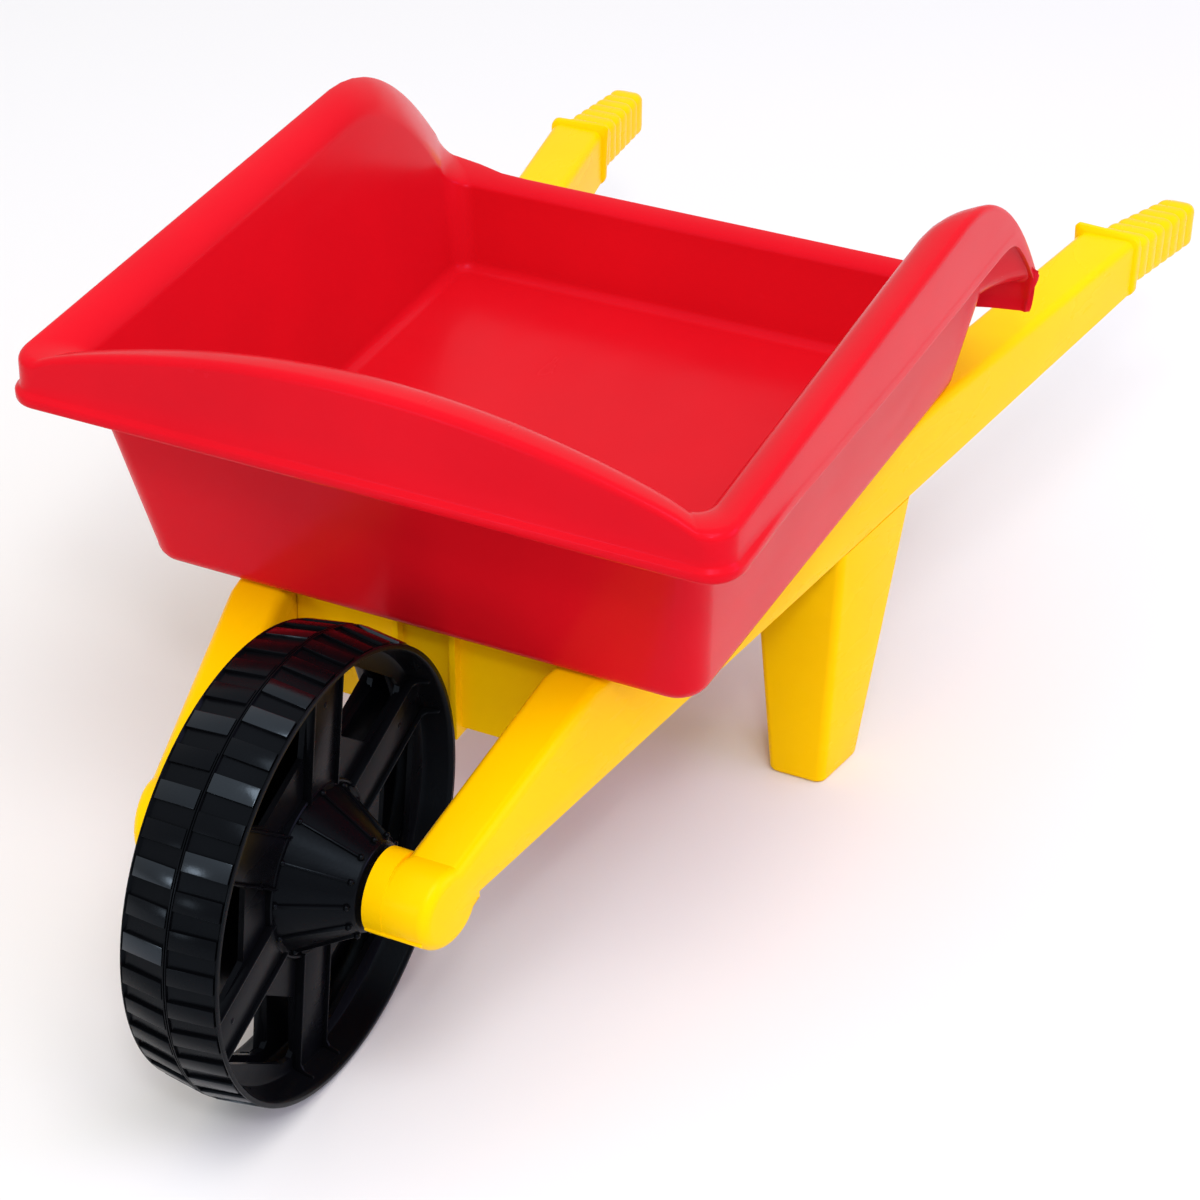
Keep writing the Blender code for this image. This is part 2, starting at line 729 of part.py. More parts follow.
def fin_shapes(phase):
    """Thin fins that run up the hub's cone."""
    bm = bmesh.new()
    slope = (HUB_FOOT_RADIUS - HUB_END_RADIUS) / (HUB_END - WEB_HIGH)
    top = HUB_END - 0.0012
    proud, half = 0.0014, 0.0007
    outlines = []
    for z in (WEB_HIGH - 0.001, top):
        reach = HUB_END_RADIUS + slope * (HUB_END - z) + proud
        inside = reach - 0.006
        outlines.append(((inside, -half), (reach, -half), (reach, half), (inside, half)))
    for turn in around(HUB_FINS, phase):
        prism(bm, outlines, WEB_HIGH - 0.001, top, turn)
    return bm


def on_circle(count, radius, phase):
    for i in range(count):
        turn = phase + 2 * math.pi * i / count
        yield radius * math.cos(turn), radius * math.sin(turn)


def wheel_half(side, name):
    """Made with its outer face towards its own +Z, then turned to face along X."""
    label = "right" if side > 0 else "left"
    face, seam = WHEEL_HALF_WIDTH, GAP / 2
    profile = [
        (TREAD_EDGE_RADIUS, face), (WHEEL_RADIUS, 0.0010), (WHEEL_RADIUS, seam),
        (0.0925, seam), (0.0915, WEB_LOW), (HUB_FOOT_RADIUS - 0.003, WEB_LOW), (0.0160, HUB_END - 0.003),
        (0.0080, HUB_END - 0.003), (0.0080, seam), (BORE_RADIUS, seam), (BORE_RADIUS, HUB_END),
        (HUB_END_RADIUS - 0.001, HUB_END), (HUB_END_RADIUS, HUB_END - 0.001), (HUB_FOOT_RADIUS, WEB_HIGH),
        (0.0890, WEB_HIGH), (0.0921, face),
    ]
    half = turned(name, profile, 72, wheel_centre, black)
    half.rotation_euler = (0, side * math.pi / 2, 0)
    tread_phase = math.pi / TREAD_GROOVES if side > 0 else 0
    phase = math.pi / 2 + side * SPOKE_TURN
    tools = [
        (join, "spokes", spoke_shapes(phase)),
        (cut, "windows", window_shapes(phase)),
        (cut, "grooves", groove_shapes(tread_phase)),
        (join, "fins", fin_shapes(phase)),
    ]
    places = list(on_circle(3, WHEEL_SCREW_RADIUS, phase))
    posts = [cylinder_z(0.0050, seam, WEB_LOW + 0.001, x, y, 14) for x, y in places]
    tools.append((join, "posts", merged(posts)))
    reach = SPOKE_HIGH + 0.004 if side < 0 else 0.0085
    holes = [cylinder_z(SHANK_HOLE_RADIUS, -0.004, reach, x, y, 12) for x, y in places]
    tools.append((cut, "screw_holes", merged(holes)))
    for action, what, shape in tools:
        tool = helper(f"{label}_wheel_{what}", shape, wheel_centre)
        tool.rotation_euler = half.rotation_euler
        action(half, tool)
    return half


def axle():
    bm = cylinder_x(AXLE_RADIUS, -AXLE_HALF_LENGTH, AXLE_HALF_LENGTH, 0, WHEEL_RADIUS, 20)
    ends = [edge for edge in bm.edges if edge.calc_face_angle(0) > 1]
    bmesh.ops.bevel(bm, geom=ends, offset=0.0007, segments=1, affect="EDGES")
    return part("axle", bm, ground_under_axle, bare_steel)


def hub_washer(side, name):
    """A loose spacer between the hub's end and the boss."""
    low, high = HUB_END + GAP, BOSS_INNER_X - GAP
    profile = [(0.0095, high), (0.0095, low), (0.0045, low), (0.0045, high)]
    washer = turned(name, profile, 20, ground_under_axle, natural)
    washer.location = (0, 0, WHEEL_RADIUS)
    washer.rotation_euler = (0, side * math.pi / 2, 0)
    return washer


# Screws: pan heads. Each is made head up at its own origin, where its shank begins.


def screw(name, shank, location, rotation, parent):
    head, radius = SCREW_HEAD_HEIGHT, SCREW_HEAD_RADIUS
    profile = [
        (0, head), (0.6 * radius, 0.92 * head), (radius, 0.45 * head), (radius, 0), (SCREW_SHANK_RADIUS, 0),
        (SCREW_SHANK_RADIUS, 0.0012 - shank), (0, -shank),
    ]
    obj = turned(name, profile, 12, parent, bare_steel)
    obj.location = location
    obj.rotation_euler = rotation
    return obj


def screws():
    for place, (x, y) in TRAY_SCREWS.items():
        under = tray_floor_z(y) - WALL - POST_DEPTH - GAP
        for side, label in ((-1, "left"), (1, "right")):
            name = f"tray_screw_{place}_{label}"
            screw(name, 0.0045, (side * x, y, under), (math.pi, 0, 0), ground_under_axle)
    for side, label in ((-1, "left"), (1, "right")):
        head_inwards = (0, -side * math.pi / 2, 0)
        for place, (y, z) in CROSS_SCREWS.items():
            seat = side * (rail_inner_x(y) - 0.0004 - WALL - 0.0009)
            screw(f"cross_screw_{place}_{label}", 0.010, (seat, y, z), head_inwards, ground_under_axle)
        y, z = LEG_SCREW
        seat = side * (rail_inner_x(y) - 0.0009)
        screw(f"leg_screw_{label}", 0.0085, (seat, y, z), head_inwards, ground_under_axle)
    for i, (x, y) in enumerate(on_circle(3, WHEEL_SCREW_RADIUS, math.pi / 2 - SPOKE_TURN)):
        # The left half's own +X points up and its +Z points left once it is turned to face -X.
        location = (-SPOKE_HIGH - GAP, y, x)
        screw(f"wheel_screw_{i + 1}", 0.0165, location, (0, -math.pi / 2, 0), wheel_centre)


clear_scene()
parts = new_collection("toy_wheelbarrow")
cutters = new_collection("cutters")
red = plastic("red_plastic", (0.76, 0.022, 0.030), 0.28)
yellow = plastic("yellow_plastic", (0.96, 0.58, 0.0), 0.32)
black = plastic("black_plastic", (0.004, 0.004, 0.006), 0.30)
natural = plastic("natural_plastic", (0.80, 0.79, 0.74), 0.45)
bare_steel = steel("zinc_steel")
ground_under_axle = datum("ground_under_axle", (0, AXLE_Y, 0))
wheel_centre = datum("wheel_centre", (0, AXLE_Y, WHEEL_RADIUS))

tray()
side_rail(-1, "left_side_rail")
side_rail(1, "right_side_rail")
leg(-1, "left_leg")
leg(1, "right_leg")
cross_member("front_cross_member", FRONT_CROSS_Y, FRONT_CROSS_LOW_Z, ribs=True)
cross_member("rear_cross_member", REAR_CROSS_Y, REAR_CROSS_LOW_Z, ribs=False)
wheel_half(-1, "left_wheel_half")
wheel_half(1, "right_wheel_half")
axle()
hub_washer(-1, "left_hub_washer")
hub_washer(1, "right_hub_washer")
screws()
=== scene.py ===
"""Toy wheelbarrow, finished: a red tray on a yellow frame with one black wheel.

Metres, +Z up, -Y is the front. Places on the frame are distances behind the axle.
"""

import json
import math

import bmesh
import bpy
from mathutils import Matrix, Vector


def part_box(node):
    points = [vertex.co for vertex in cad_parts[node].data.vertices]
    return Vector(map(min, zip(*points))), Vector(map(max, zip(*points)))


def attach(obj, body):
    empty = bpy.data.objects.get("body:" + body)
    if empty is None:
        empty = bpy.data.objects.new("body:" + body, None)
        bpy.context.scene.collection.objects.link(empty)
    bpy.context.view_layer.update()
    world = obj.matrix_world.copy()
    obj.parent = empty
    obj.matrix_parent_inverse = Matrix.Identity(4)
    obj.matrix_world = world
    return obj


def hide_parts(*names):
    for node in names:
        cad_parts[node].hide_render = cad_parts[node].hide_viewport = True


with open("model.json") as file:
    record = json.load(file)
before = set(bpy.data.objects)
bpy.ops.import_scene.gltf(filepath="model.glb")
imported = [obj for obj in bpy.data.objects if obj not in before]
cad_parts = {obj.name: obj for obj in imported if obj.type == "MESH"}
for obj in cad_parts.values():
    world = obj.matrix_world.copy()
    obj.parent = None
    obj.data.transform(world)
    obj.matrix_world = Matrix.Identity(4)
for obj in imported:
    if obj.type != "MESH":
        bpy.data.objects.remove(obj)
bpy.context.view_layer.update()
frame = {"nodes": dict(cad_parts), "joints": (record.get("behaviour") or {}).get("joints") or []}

axle = Vector(frame["joints"][0]["pos_m"])

# Studio: a pale floor in a white room that is brighter overhead. A soft light and a small one stand above
# the right front, a cooler panel on the right and a low one in front. The camera looks down at the wheel and
# the right side.

floor_bm = bmesh.new()
bmesh.ops.create_circle(floor_bm, cap_ends=True, segments=96, radius=9)
floor_mesh = bpy.data.meshes.new("studio_floor")
floor_bm.to_mesh(floor_mesh)
floor_bm.free()
floor = bpy.data.objects.new("studio_floor", floor_mesh)
bpy.context.scene.collection.objects.link(floor)
floor_paint = bpy.data.materials.new("studio_floor")
floor_paint.use_nodes = True
floor_paint.node_tree.nodes["Principled BSDF"].inputs["Base Color"].default_value = (0.77, 0.77, 0.77, 1)
floor_paint.node_tree.nodes["Principled BSDF"].inputs["Roughness"].default_value = 0.9
floor_mesh.materials.append(floor_paint)

room = bpy.data.worlds.new("studio")
room.use_nodes = True
direction = room.node_tree.nodes.new("ShaderNodeTexCoord")
height = room.node_tree.nodes.new("ShaderNodeSeparateXYZ")
brightness = room.node_tree.nodes.new("ShaderNodeMapRange")
brightness.inputs["From Max"].default_value = 0.7
brightness.inputs["To Min"].default_value = 0.55
brightness.inputs["To Max"].default_value = 1.05
room.node_tree.links.new(direction.outputs["Generated"], height.inputs["Vector"])
room.node_tree.links.new(height.outputs["Z"], brightness.inputs["Value"])
room.node_tree.nodes["Background"].inputs["Color"].default_value = (1, 1, 1, 1)
room.node_tree.links.new(brightness.outputs["Result"], room.node_tree.nodes["Background"].inputs["Strength"])
bpy.context.scene.world = room
bpy.context.scene.view_settings.view_transform = "Standard"


def soft_light(name, place, aim, size, power, colour=(1, 1, 1)):
    light = bpy.data.lights.new(name, "AREA")
    light.size = size
    light.energy = power
    light.color = colour
    lamp = bpy.data.objects.new(name, light)
    lamp.location = place
    lamp.rotation_euler = (Vector(aim) - Vector(place)).to_track_quat("-Z", "Y").to_euler()
    bpy.context.scene.collection.objects.link(lamp)


soft_light("light_above", (0.7, -0.9, 2.2), (0, 0, 0.1), 1.1, 21)
soft_light("light_right", (2.0, 0.5, 0.9), (0, 0, 0.15), 1.2, 16, (0.66, 0.50, 1.0))
soft_light("light_small", (0.9, -1.6, 1.9), (0, -0.1, 0.1), 0.28, 10)
soft_light("light_front", (-0.9, -2.55, 0.65), (0, -0.3, 0.1), 0.5, 6)

turn, tilt, roll = math.radians(25.397), math.radians(33.523), math.radians(0.342)
forward = Vector((-math.sin(turn) * math.cos(tilt), math.cos(turn) * math.cos(tilt), -math.sin(tilt)))
level_right = Vector((math.cos(turn), math.sin(turn), 0))
level_up = level_right.cross(forward)
camera_right = level_right * math.cos(roll) + level_up * math.sin(roll)
camera_up = level_up * math.cos(roll) - level_right * math.sin(roll)
lens = bpy.data.cameras.new("camera")
lens.sensor_width = 36
lens.lens = 88.83
lens.shift_x = 0.0065
camera = bpy.data.objects.new("camera", lens)
camera_matrix = Matrix((camera_right, camera_up, -forward)).transposed().to_4x4()
camera_matrix.translation = Vector((0.50215, axle.y - 0.78547, 0.83663))
camera.matrix_world = camera_matrix
bpy.context.scene.collection.objects.link(camera)
bpy.context.scene.camera = camera

# Tray: one injection-moulded shell of glossy red plastic. Its floor lies on the frame and its walls lean
# out. Its rim, crowned in front and falling to a flange at the rear, rolls over into a turned-down lip with
# a bead. Four short posts under the floor take the screws that hold it down.


def moulded_plastic(name, colour, depth, gloss, grain=1.0, sheen=0.22, tint=(1, 1, 1)):
    """Coloured plastic from a polished mould: faint clouds, hair scratches, fine grain and slow waves.

    depth is how much the colour varies, gloss the range of its roughness, sheen and tint its reflections.
    """
    material = bpy.data.materials.new(name)
    material.use_nodes = True
    nodes, links = material.node_tree.nodes, material.node_tree.links
    shader = nodes["Principled BSDF"]
    place = nodes.new("ShaderNodeTexCoord")

    def noise(scale, detail, stretch=(1, 1, 1)):
        mapping = nodes.new("ShaderNodeMapping")
        mapping.inputs["Scale"].default_value = stretch
        links.new(place.outputs["Object"], mapping.inputs["Vector"])
        node = nodes.new("ShaderNodeTexNoise")
        node.inputs["Scale"].default_value = scale
        node.inputs["Detail"].default_value = detail
        links.new(mapping.outputs["Vector"], node.inputs["Vector"])
        return node.outputs["Fac"]

    def spread(value, low, high, start=0.35, end=0.65):
        node = nodes.new("ShaderNodeMapRange")
        node.inputs["From Min"].default_value = start
        node.inputs["From Max"].default_value = end
        node.inputs["To Min"].default_value = low
        node.inputs["To Max"].default_value = high
        links.new(value, node.inputs["Value"])
        return node.outputs["Result"]

    clouds = nodes.new("ShaderNodeMix")
    clouds.data_type = "RGBA"
    clouds.inputs["A"].default_value = (*[part * (1 - depth) for part in colour], 1)
    clouds.inputs["B"].default_value = (*[min(1, part * (1 + depth)) for part in colour], 1)
    links.new(spread(noise(11, 4), 0, 1), clouds.inputs["Factor"])
    links.new(clouds.outputs["Result"], shader.inputs["Base Color"])

    scuffs = spread(noise(60, 5, (1, 0.25, 1)), gloss[0], gloss[1], 0.3, 0.75)
    links.new(scuffs, shader.inputs["Roughness"])

    waves = nodes.new("ShaderNodeBump")
    waves.inputs["Strength"].default_value = 0.10
    waves.inputs["Distance"].default_value = 0.004
    links.new(noise(16, 1), waves.inputs["Height"])
    texture = nodes.new("ShaderNodeBump")
    texture.inputs["Strength"].default_value = 0.04 * grain
    texture.inputs["Distance"].default_value = 0.0003
    links.new(noise(700, 2), texture.inputs["Height"])
    links.new(waves.outputs["Normal"], texture.inputs["Normal"])
    links.new(texture.outputs["Normal"], shader.inputs["Normal"])
    shader.inputs["Specular IOR Level"].default_value = sheen
    shader.inputs["Specular Tint"].default_value = (*tint, 1)
    return material


def plain_mesh(obj):
    """The object's evaluated shape as a mesh of its own. The object itself is removed."""
    bpy.context.view_layer.update()
    graph = bpy.context.evaluated_depsgraph_get()
    mesh = bpy.data.meshes.new_from_object(obj.evaluated_get(graph), depsgraph=graph)
    bpy.data.objects.remove(obj)
    return mesh


def working_object(name, bm):
    mesh = bpy.data.meshes.new(name)
    bm.to_mesh(mesh)
    bm.free()
    obj = bpy.data.objects.new(name, mesh)
    bpy.context.scene.collection.objects.link(obj)
    return obj


def fit(name, mesh, material, body, nodes, sharp=35):
    """Puts a finished mesh on its body, in place of the frame's nodes."""
    mesh.materials.clear()
    mesh.materials.append(material)
    mesh.shade_smooth()
    mesh.set_sharp_from_angle(angle=math.radians(sharp))
    piece = bpy.data.objects.new(name, mesh)
    bpy.context.scene.collection.objects.link(piece)
    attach(piece, body)
    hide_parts(*nodes)


def behind_axle(mesh):
    """Moves a shape made with the axle's line at y = 0 to its place."""
    mesh.transform(Matrix.Translation((0, axle.y, 0)))
    return mesh


def turned(profile, steps, ring=False):
    """(radius, height) points turned about Z. A ring's profile closes on itself."""
    bm = bmesh.new()
    rows = []
    for radius, height in profile:
        count = steps if radius > 0 else 1
        angles = [2 * math.pi * i / steps for i in range(count)]
        rows.append([bm.verts.new((radius * math.cos(a), radius * math.sin(a), height)) for a in angles])
    pairs = list(zip(rows, rows[1:]))
    if ring:
        pairs.append((rows[-1], rows[0]))
    for low, high in pairs:
        for i in range(steps):
            j = (i + 1) % steps
            corners = [low[i % len(low)], low[j % len(low)], high[j % len(high)], high[i % len(high)]]
            bm.faces.new(list(dict.fromkeys(corners)))
    bmesh.ops.recalc_face_normals(bm, faces=bm.faces)
    return bm


# Each outline of the tray: half-width in front and behind, front and rear end, front and rear corner radius.
FLOOR_EDGE = (0.1265, 0.1310, 0.0995, 0.3905, 0.012, 0.010)
WALL_TOP = (0.1375, 0.1385, 0.0785, 0.3995, 0.008, 0.012)
LIP = (0.1575, 0.1575, 0.0545, 0.4235, 0.012, 0.007)
LIP_LOW = (0.1577, 0.1577, 0.0542, 0.4270, 0.012, 0.007)
TRAY_WALL = 0.0026
FLOOR_Z, FLOOR_RISE = 0.1510, 0.0105
FLOOR_FILLET = 0.006
ROLL, REAR_ROLL, ROLL_CROWN, ROLL_EDGE = 0.012, 0.005, 0.84, 0.004
FRONT_CROWN_Z, CORNER_RIM_Z, RIM_RISE = 0.2862, 0.2620, 0.053
RIM_FALL_START, RIM_FALL, REAR_RIM_Z = 0.315, 6.2, 0.1985
SKIRT_Z, SIDE_LIP_Z, REAR_LIP_Z = 0.2415, 0.236, 0.178
SIDE_LIP_HEIGHT = 0.0150
REAR_DRAWN_IN = 0.010
BEAD = 0.0023
TRAY_POSTS = ((0.045, 0.126), (0.060, 0.368))


def mixed(one, other, share):
    return tuple(a + (b - a) * share for a, b in zip(one, other))


def grown(outline, by):
    return tuple(value + sign * by for value, sign in zip(outline, (1, 1, -1, 1, 1, 1)))


def plan_point(outline, stretch, t):
    half_front, half_rear, front, rear, radius_front, radius_rear = outline
    if stretch == "front":
        return t * (half_front - radius_front), front
    if stretch == "front_corner":
        angle = math.pi / 2 * (1 - t)
        x = half_front - radius_front * (1 - math.cos(angle))
        return x, front + radius_front * (1 - math.sin(angle))
    if stretch == "side":
        start, end = front + radius_front, rear - radius_rear
        return half_front + (half_rear - half_front) * t, start + (end - start) * t
    if stretch == "rear_corner":
        angle = math.pi / 2 * t
        x = half_rear - radius_rear * (1 - math.cos(angle))
        return x, rear - radius_rear * (1 - math.sin(angle))
    return (1 - t) * (half_rear - radius_rear), rear


def tray_floor_z(y):
    return FLOOR_Z + FLOOR_RISE * (y - 0.095)


def rim_z(stretch, t):
    if stretch == "rear":
        return REAR_RIM_Z
    if stretch == "rear_corner":
        side_end = rim_z("side", 1)
        return side_end + (REAR_RIM_Z - side_end) * math.sin(math.pi / 2 * t)
    x, y = plan_point(LIP, stretch, t)
    if stretch == "front":
        return FRONT_CROWN_Z - (FRONT_CROWN_Z - CORNER_RIM_Z) * (x / 0.150) ** 2
    fall = RIM_FALL * max(0.0, y - RIM_FALL_START) ** 2
    return CORNER_RIM_Z + RIM_RISE * (min(y, RIM_FALL_START) - LIP[2]) - fall


def roll_height(stretch, t):
    flattened = {"rear": 1.0, "rear_corner": 0.5 + 0.5 * t, "side": 0.5 * max(0.0, (t - 0.85) / 0.15)}
    return ROLL + (REAR_ROLL - ROLL) * flattened.get(stretch, 0.0)


def smooth_step(value):
    value = min(1.0, max(0.0, value))
    return value * value * (3 - 2 * value)


def lip_low_z(stretch, t):
    """Lower edge of the lip: level in front, arched up under the falling rim, low across the rear."""
    if stretch in ("front", "front_corner"):
        return SKIRT_Z
    if stretch == "rear":
        return REAR_LIP_Z
    if stretch == "rear_corner":
        side_end = lip_low_z("side", 1)
        return side_end + (REAR_LIP_Z - side_end) * smooth_step(1.6 * t)
    _, y = plan_point(LIP, stretch, t)
    level = SKIRT_Z + (SIDE_LIP_Z - SKIRT_Z) * smooth_step((y - 0.07) / 0.2)
    under_rim = rim_z(stretch, t) - SIDE_LIP_HEIGHT
    gap = (level - under_rim) / 0.004
    return level - 0.004 * math.log1p(math.exp(min(gap, 60)))


def bead_share(stretch, t):
    """The bead is full in front and fades to a soft swelling along the sides."""
    if stretch in ("front", "front_corner"):
        return 1.0
    if stretch == "side":
        return 1.0 - 0.92 * smooth_step(t / 0.18)
    return 0.08


def rear_narrowing(outline, stretch, t):
    """How far the rear flange is drawn in between its corners."""
    if stretch != "rear":
        return 0.0
    outwards = (outline[3] - WALL_TOP[3]) / (LIP[3] - WALL_TOP[3])
    return REAR_DRAWN_IN * min(1.0, max(0.0, outwards)) * smooth_step(t / 0.25)


def tray_levels():
    """(outline, height, how far the bead counts) from the floor outwards."""
    levels = []
    for degrees in range(0, 91, 15):
        angle = math.radians(degrees)
        inward, rise = 1 - math.sin(angle), 1 - math.cos(angle)
        outline = grown(FLOOR_EDGE, -inward * FLOOR_FILLET)
        levels.append((outline, lambda s, t, y, rise=rise: tray_floor_z(y) + rise * FLOOR_FILLET, 0))

    def up_the_wall(share):
        return lambda s, t, y: (
            (1 - share) * (tray_floor_z(y) + FLOOR_FILLET) + share * (rim_z(s, t) - roll_height(s, t))
        )

    for share in (0.25, 0.5, 0.75):
        levels.append((mixed(FLOOR_EDGE, WALL_TOP, share), up_the_wall(share), 0))
    for degrees in range(0, 81, 8):
        angle = math.radians(degrees)
        across = ROLL_CROWN * (1 - math.cos(angle))
        drop = 1 - math.sin(angle)
        height = lambda s, t, y, drop=drop: rim_z(s, t) - drop * roll_height(s, t)
        levels.append((mixed(WALL_TOP, LIP, across), height, 0))
    for degrees in range(0, 91, 9):
        angle = math.radians(degrees)
        across = ROLL_CROWN + (1 - ROLL_CROWN) * math.sin(angle)
        drop = ROLL_EDGE * (1 - math.cos(angle))
        levels.append((mixed(WALL_TOP, LIP, across), lambda s, t, y, drop=drop: rim_z(s, t) - drop, 0))

    def down_the_lip(share):
        return lambda s, t, y: (1 - share) * (rim_z(s, t) - ROLL_EDGE) + share * (lip_low_z(s, t) + 0.0068)

    for share in (0.33, 0.66, 1.0):
        levels.append((mixed(LIP, LIP_LOW, share), down_the_lip(share), 0))
    bead_section = ((0.0058, 0.25), (0.0050, 0.75), (0.0041, 1.0), (0.0012, 1.0), (0.0004, 0.85), (0.0, 0.6))
    for rise, proud in bead_section:
        levels.append((LIP_LOW, lambda s, t, y, rise=rise: lip_low_z(s, t) + rise, proud))
    return levels


def tray_shell():
    stations = [("front", i / 18) for i in range(18)]
    stations += [("front_corner", i / 10) for i in range(10)]
    stations += [("side", 0.8 * i / 26) for i in range(26)]
    stations += [("side", 0.8 + 0.2 * i / 20) for i in range(20)]
    stations += [("rear_corner", i / 12) for i in range(12)]
    stations += [("rear", i / 10) for i in range(11)]
    bm = bmesh.new()
    rows = []
    for outline, height, bead in tray_levels():
        row = []
        for stretch, t in stations:
            x, y = plan_point(grown(outline, bead * BEAD * bead_share(stretch, t)), stretch, t)
            y -= rear_narrowing(outline, stretch, t)
            row.append(bm.verts.new((x, y, height(stretch, t, y))))
        rows.append(row)
    bm.faces.new(rows[0])
    for low, high in zip(rows, rows[1:]):
        for i in range(len(low) - 1):
            bm.faces.new((low[i], high[i], high[i + 1], low[i + 1]))
    bmesh.ops.recalc_face_normals(bm, faces=bm.faces)
    bm.faces.ensure_lookup_table()
    if bm.faces[0].normal.z < 0:
        bmesh.ops.reverse_faces(bm, faces=bm.faces)
    shell = working_object("tray_work", bm)
    mirror = shell.modifiers.new("other_half", "MIRROR")
    mirror.use_axis = (True, False, False)
    mirror.merge_threshold = 0.0001
    wall = shell.modifiers.new("wall", "SOLIDIFY")
    wall.thickness = TRAY_WALL
    wall.offset = -1
    edge = shell.modifiers.new("edge", "BEVEL")
    edge.width = 0.0005
    edge.segments = 2
    edge.limit_method = "ANGLE"
    edge.angle_limit = math.radians(55)
    return plain_mesh(shell)


def merged(shapes):
    whole = bmesh.new()
    for shape in shapes:
        mesh = bpy.data.meshes.new("shape")
        shape.to_mesh(mesh)
        shape.free()
        whole.from_mesh(mesh)
        bpy.data.meshes.remove(mesh)
    return whole


def tray_posts():
    """Short tubes under the floor, one for each screw."""
    posts = []
    for x, y in TRAY_POSTS:
        under = tray_floor_z(y) - TRAY_WALL
        low, high = under - 0.0038, under + 0.0006
        bore = [(0.0020, high), (0.0020, low + 0.0004), (0.0024, low)]
        profile = bore + [(0.0043, low), (0.0048, low + 0.0005), (0.0048, high)]
        for side in (-1, 1):
            post = turned(profile, 32, ring=True)
            bmesh.ops.translate(post, vec=(side * x, y, 0), verts=post.verts)
            posts.append(post)
    return merged(posts)


tray_red = moulded_plastic(
    "tray_red", (0.62, 0.0050, 0.0120), depth=0.035, gloss=(0.17, 0.28), sheen=0.065, tint=(0.80, 0.45, 1.0)
)
whole_tray = tray_posts()
whole_tray.from_mesh(tray_shell())
tray_mesh = bpy.data.meshes.new("red_tray")
whole_tray.to_mesh(tray_mesh)
whole_tray.free()
fit("red_tray", behind_axle(tray_mesh), tray_red, "frame", ["tray"], sharp=50)

# Side rails: each is one yellow moulding, a plank open below that starts in a round axle boss, climbs as a
# fork arm, runs on under the tray and ends in a collar and a drooping grip with cross ridges. A parting line
# crosses the boss. The leg plugs in from below, and the cross-members are screwed to the inner face.

INNER_X, INNER_SPREAD = 0.046, 0.159
OUTER_X, OUTER_SPREAD = 0.070, 0.169
BOSS_RADIUS, BOSS_INNER_X = 0.0176, 0.0390
RAIL_END, ARM_END = 0.573, 0.095
RAIL_EDGE, KEEL_EDGE = 0.0045, 0.0009
RAIL_WALL = 0.0028
GRIP_END = 0.6656
GRIP_START_BOX = (0.1390, 0.1655, 0.1245, 0.1490)
GRIP_END_BOX = (0.1560, 0.1728, 0.1095, 0.1337)
GRIP_RIDGES, RIDGE = 8, 0.0011
CROSS_SCREWS, LEG_SCREW = ((0.125, 0.122), (0.368, 0.134)), (0.318, 0.126)
SCREW_HOLE = 0.0020


def rail_inner_x(y):
    return INNER_X + INNER_SPREAD * y


def rail_outer_x(y):
    return OUTER_X + OUTER_SPREAD * y


def deck_z(y):
    return 0.1479 + FLOOR_RISE * (y - ARM_END)


def keel_z(y):
    return 0.0962 + 0.047 * (y - 0.0155)


def arm_top_z(y):
    return axle.z + BOSS_RADIUS + 0.36 * max(y, 0)


def to_side(bm, side):
    if side < 0:
        bmesh.ops.scale(bm, vec=(-1, 1, 1), verts=bm.verts)
        bmesh.ops.reverse_faces(bm, faces=bm.faces)
    return bm


def loft(rings):
    bm = bmesh.new()
    rows = [[bm.verts.new(point) for point in ring] for ring in rings]
    count = len(rows[0])
    for low, high in zip(rows, rows[1:]):
        for i in range(count):
            bm.faces.new((low[i], low[(i + 1) % count], high[(i + 1) % count], high[i]))
    bm.faces.new(rows[0][::-1])
    bm.faces.new(rows[-1])
    bmesh.ops.recalc_face_normals(bm, faces=bm.faces)
    return bm


def rounded_quad(corners, radii, steps=6):
    """Four corners in order, each turned into an arc."""
    points = []
    for i, corner in enumerate(corners):
        before = (corners[i - 1] - corner).normalized() * radii[i]
        after = (corners[(i + 1) % 4] - corner).normalized() * radii[i]
        for k in range(steps + 1):
            angle = math.pi / 2 * k / steps
            points.append(corner + before * (1 - math.sin(angle)) + after * (1 - math.cos(angle)))
    return points


def rod_x(radius, start, end, y, z, segments=48):
    bm = bmesh.new()
    place = Matrix.Translation(((start + end) / 2, y, z)) @ Matrix.Rotation(math.pi / 2, 4, "Y")
    bmesh.ops.create_cone(bm, cap_ends=True, segments=segments, radius1=radius, radius2=radius,
                          depth=end - start, matrix=place)
    return bm


def plank(outline, inset=0.0, rounded=False):
    """A side view of (y, z) points, thick from the rail's inner face to its outer one."""
    bm = bmesh.new()
    verts = [bm.verts.new((0, y, z)) for y, z in outline]
    face = bm.faces.new(verts)
    outer = [item for item in bmesh.ops.extrude_face_region(bm, geom=[face])["geom"]
             if isinstance(item, bmesh.types.BMVert)]
    for vert in verts:
        vert.co.x = rail_inner_x(vert.co.y) + inset
    for vert in outer:
        vert.co.x = rail_outer_x(vert.co.y) - inset
    bmesh.ops.recalc_face_normals(bm, faces=bm.faces)
    if rounded:
        for upper, width, segments in ((True, RAIL_EDGE, 6), (False, KEEL_EDGE, 2)):
            rims = [edge for edge in bm.edges if on_rim(edge) and is_upper(edge) == upper]
            bmesh.ops.bevel(bm, geom=rims, offset=width, segments=segments, profile=0.5, affect="EDGES")
    return bm


def on_rim(edge):
    a, b = (vert.co for vert in edge.verts)
    reach = math.hypot(a.y - b.y, a.z - b.z)
    flat = all(abs(abs(face.normal.x) - 1) < 0.05 for face in edge.link_faces)
    return reach > 1e-6 and abs(a.x - b.x) < 0.5 * reach and not flat


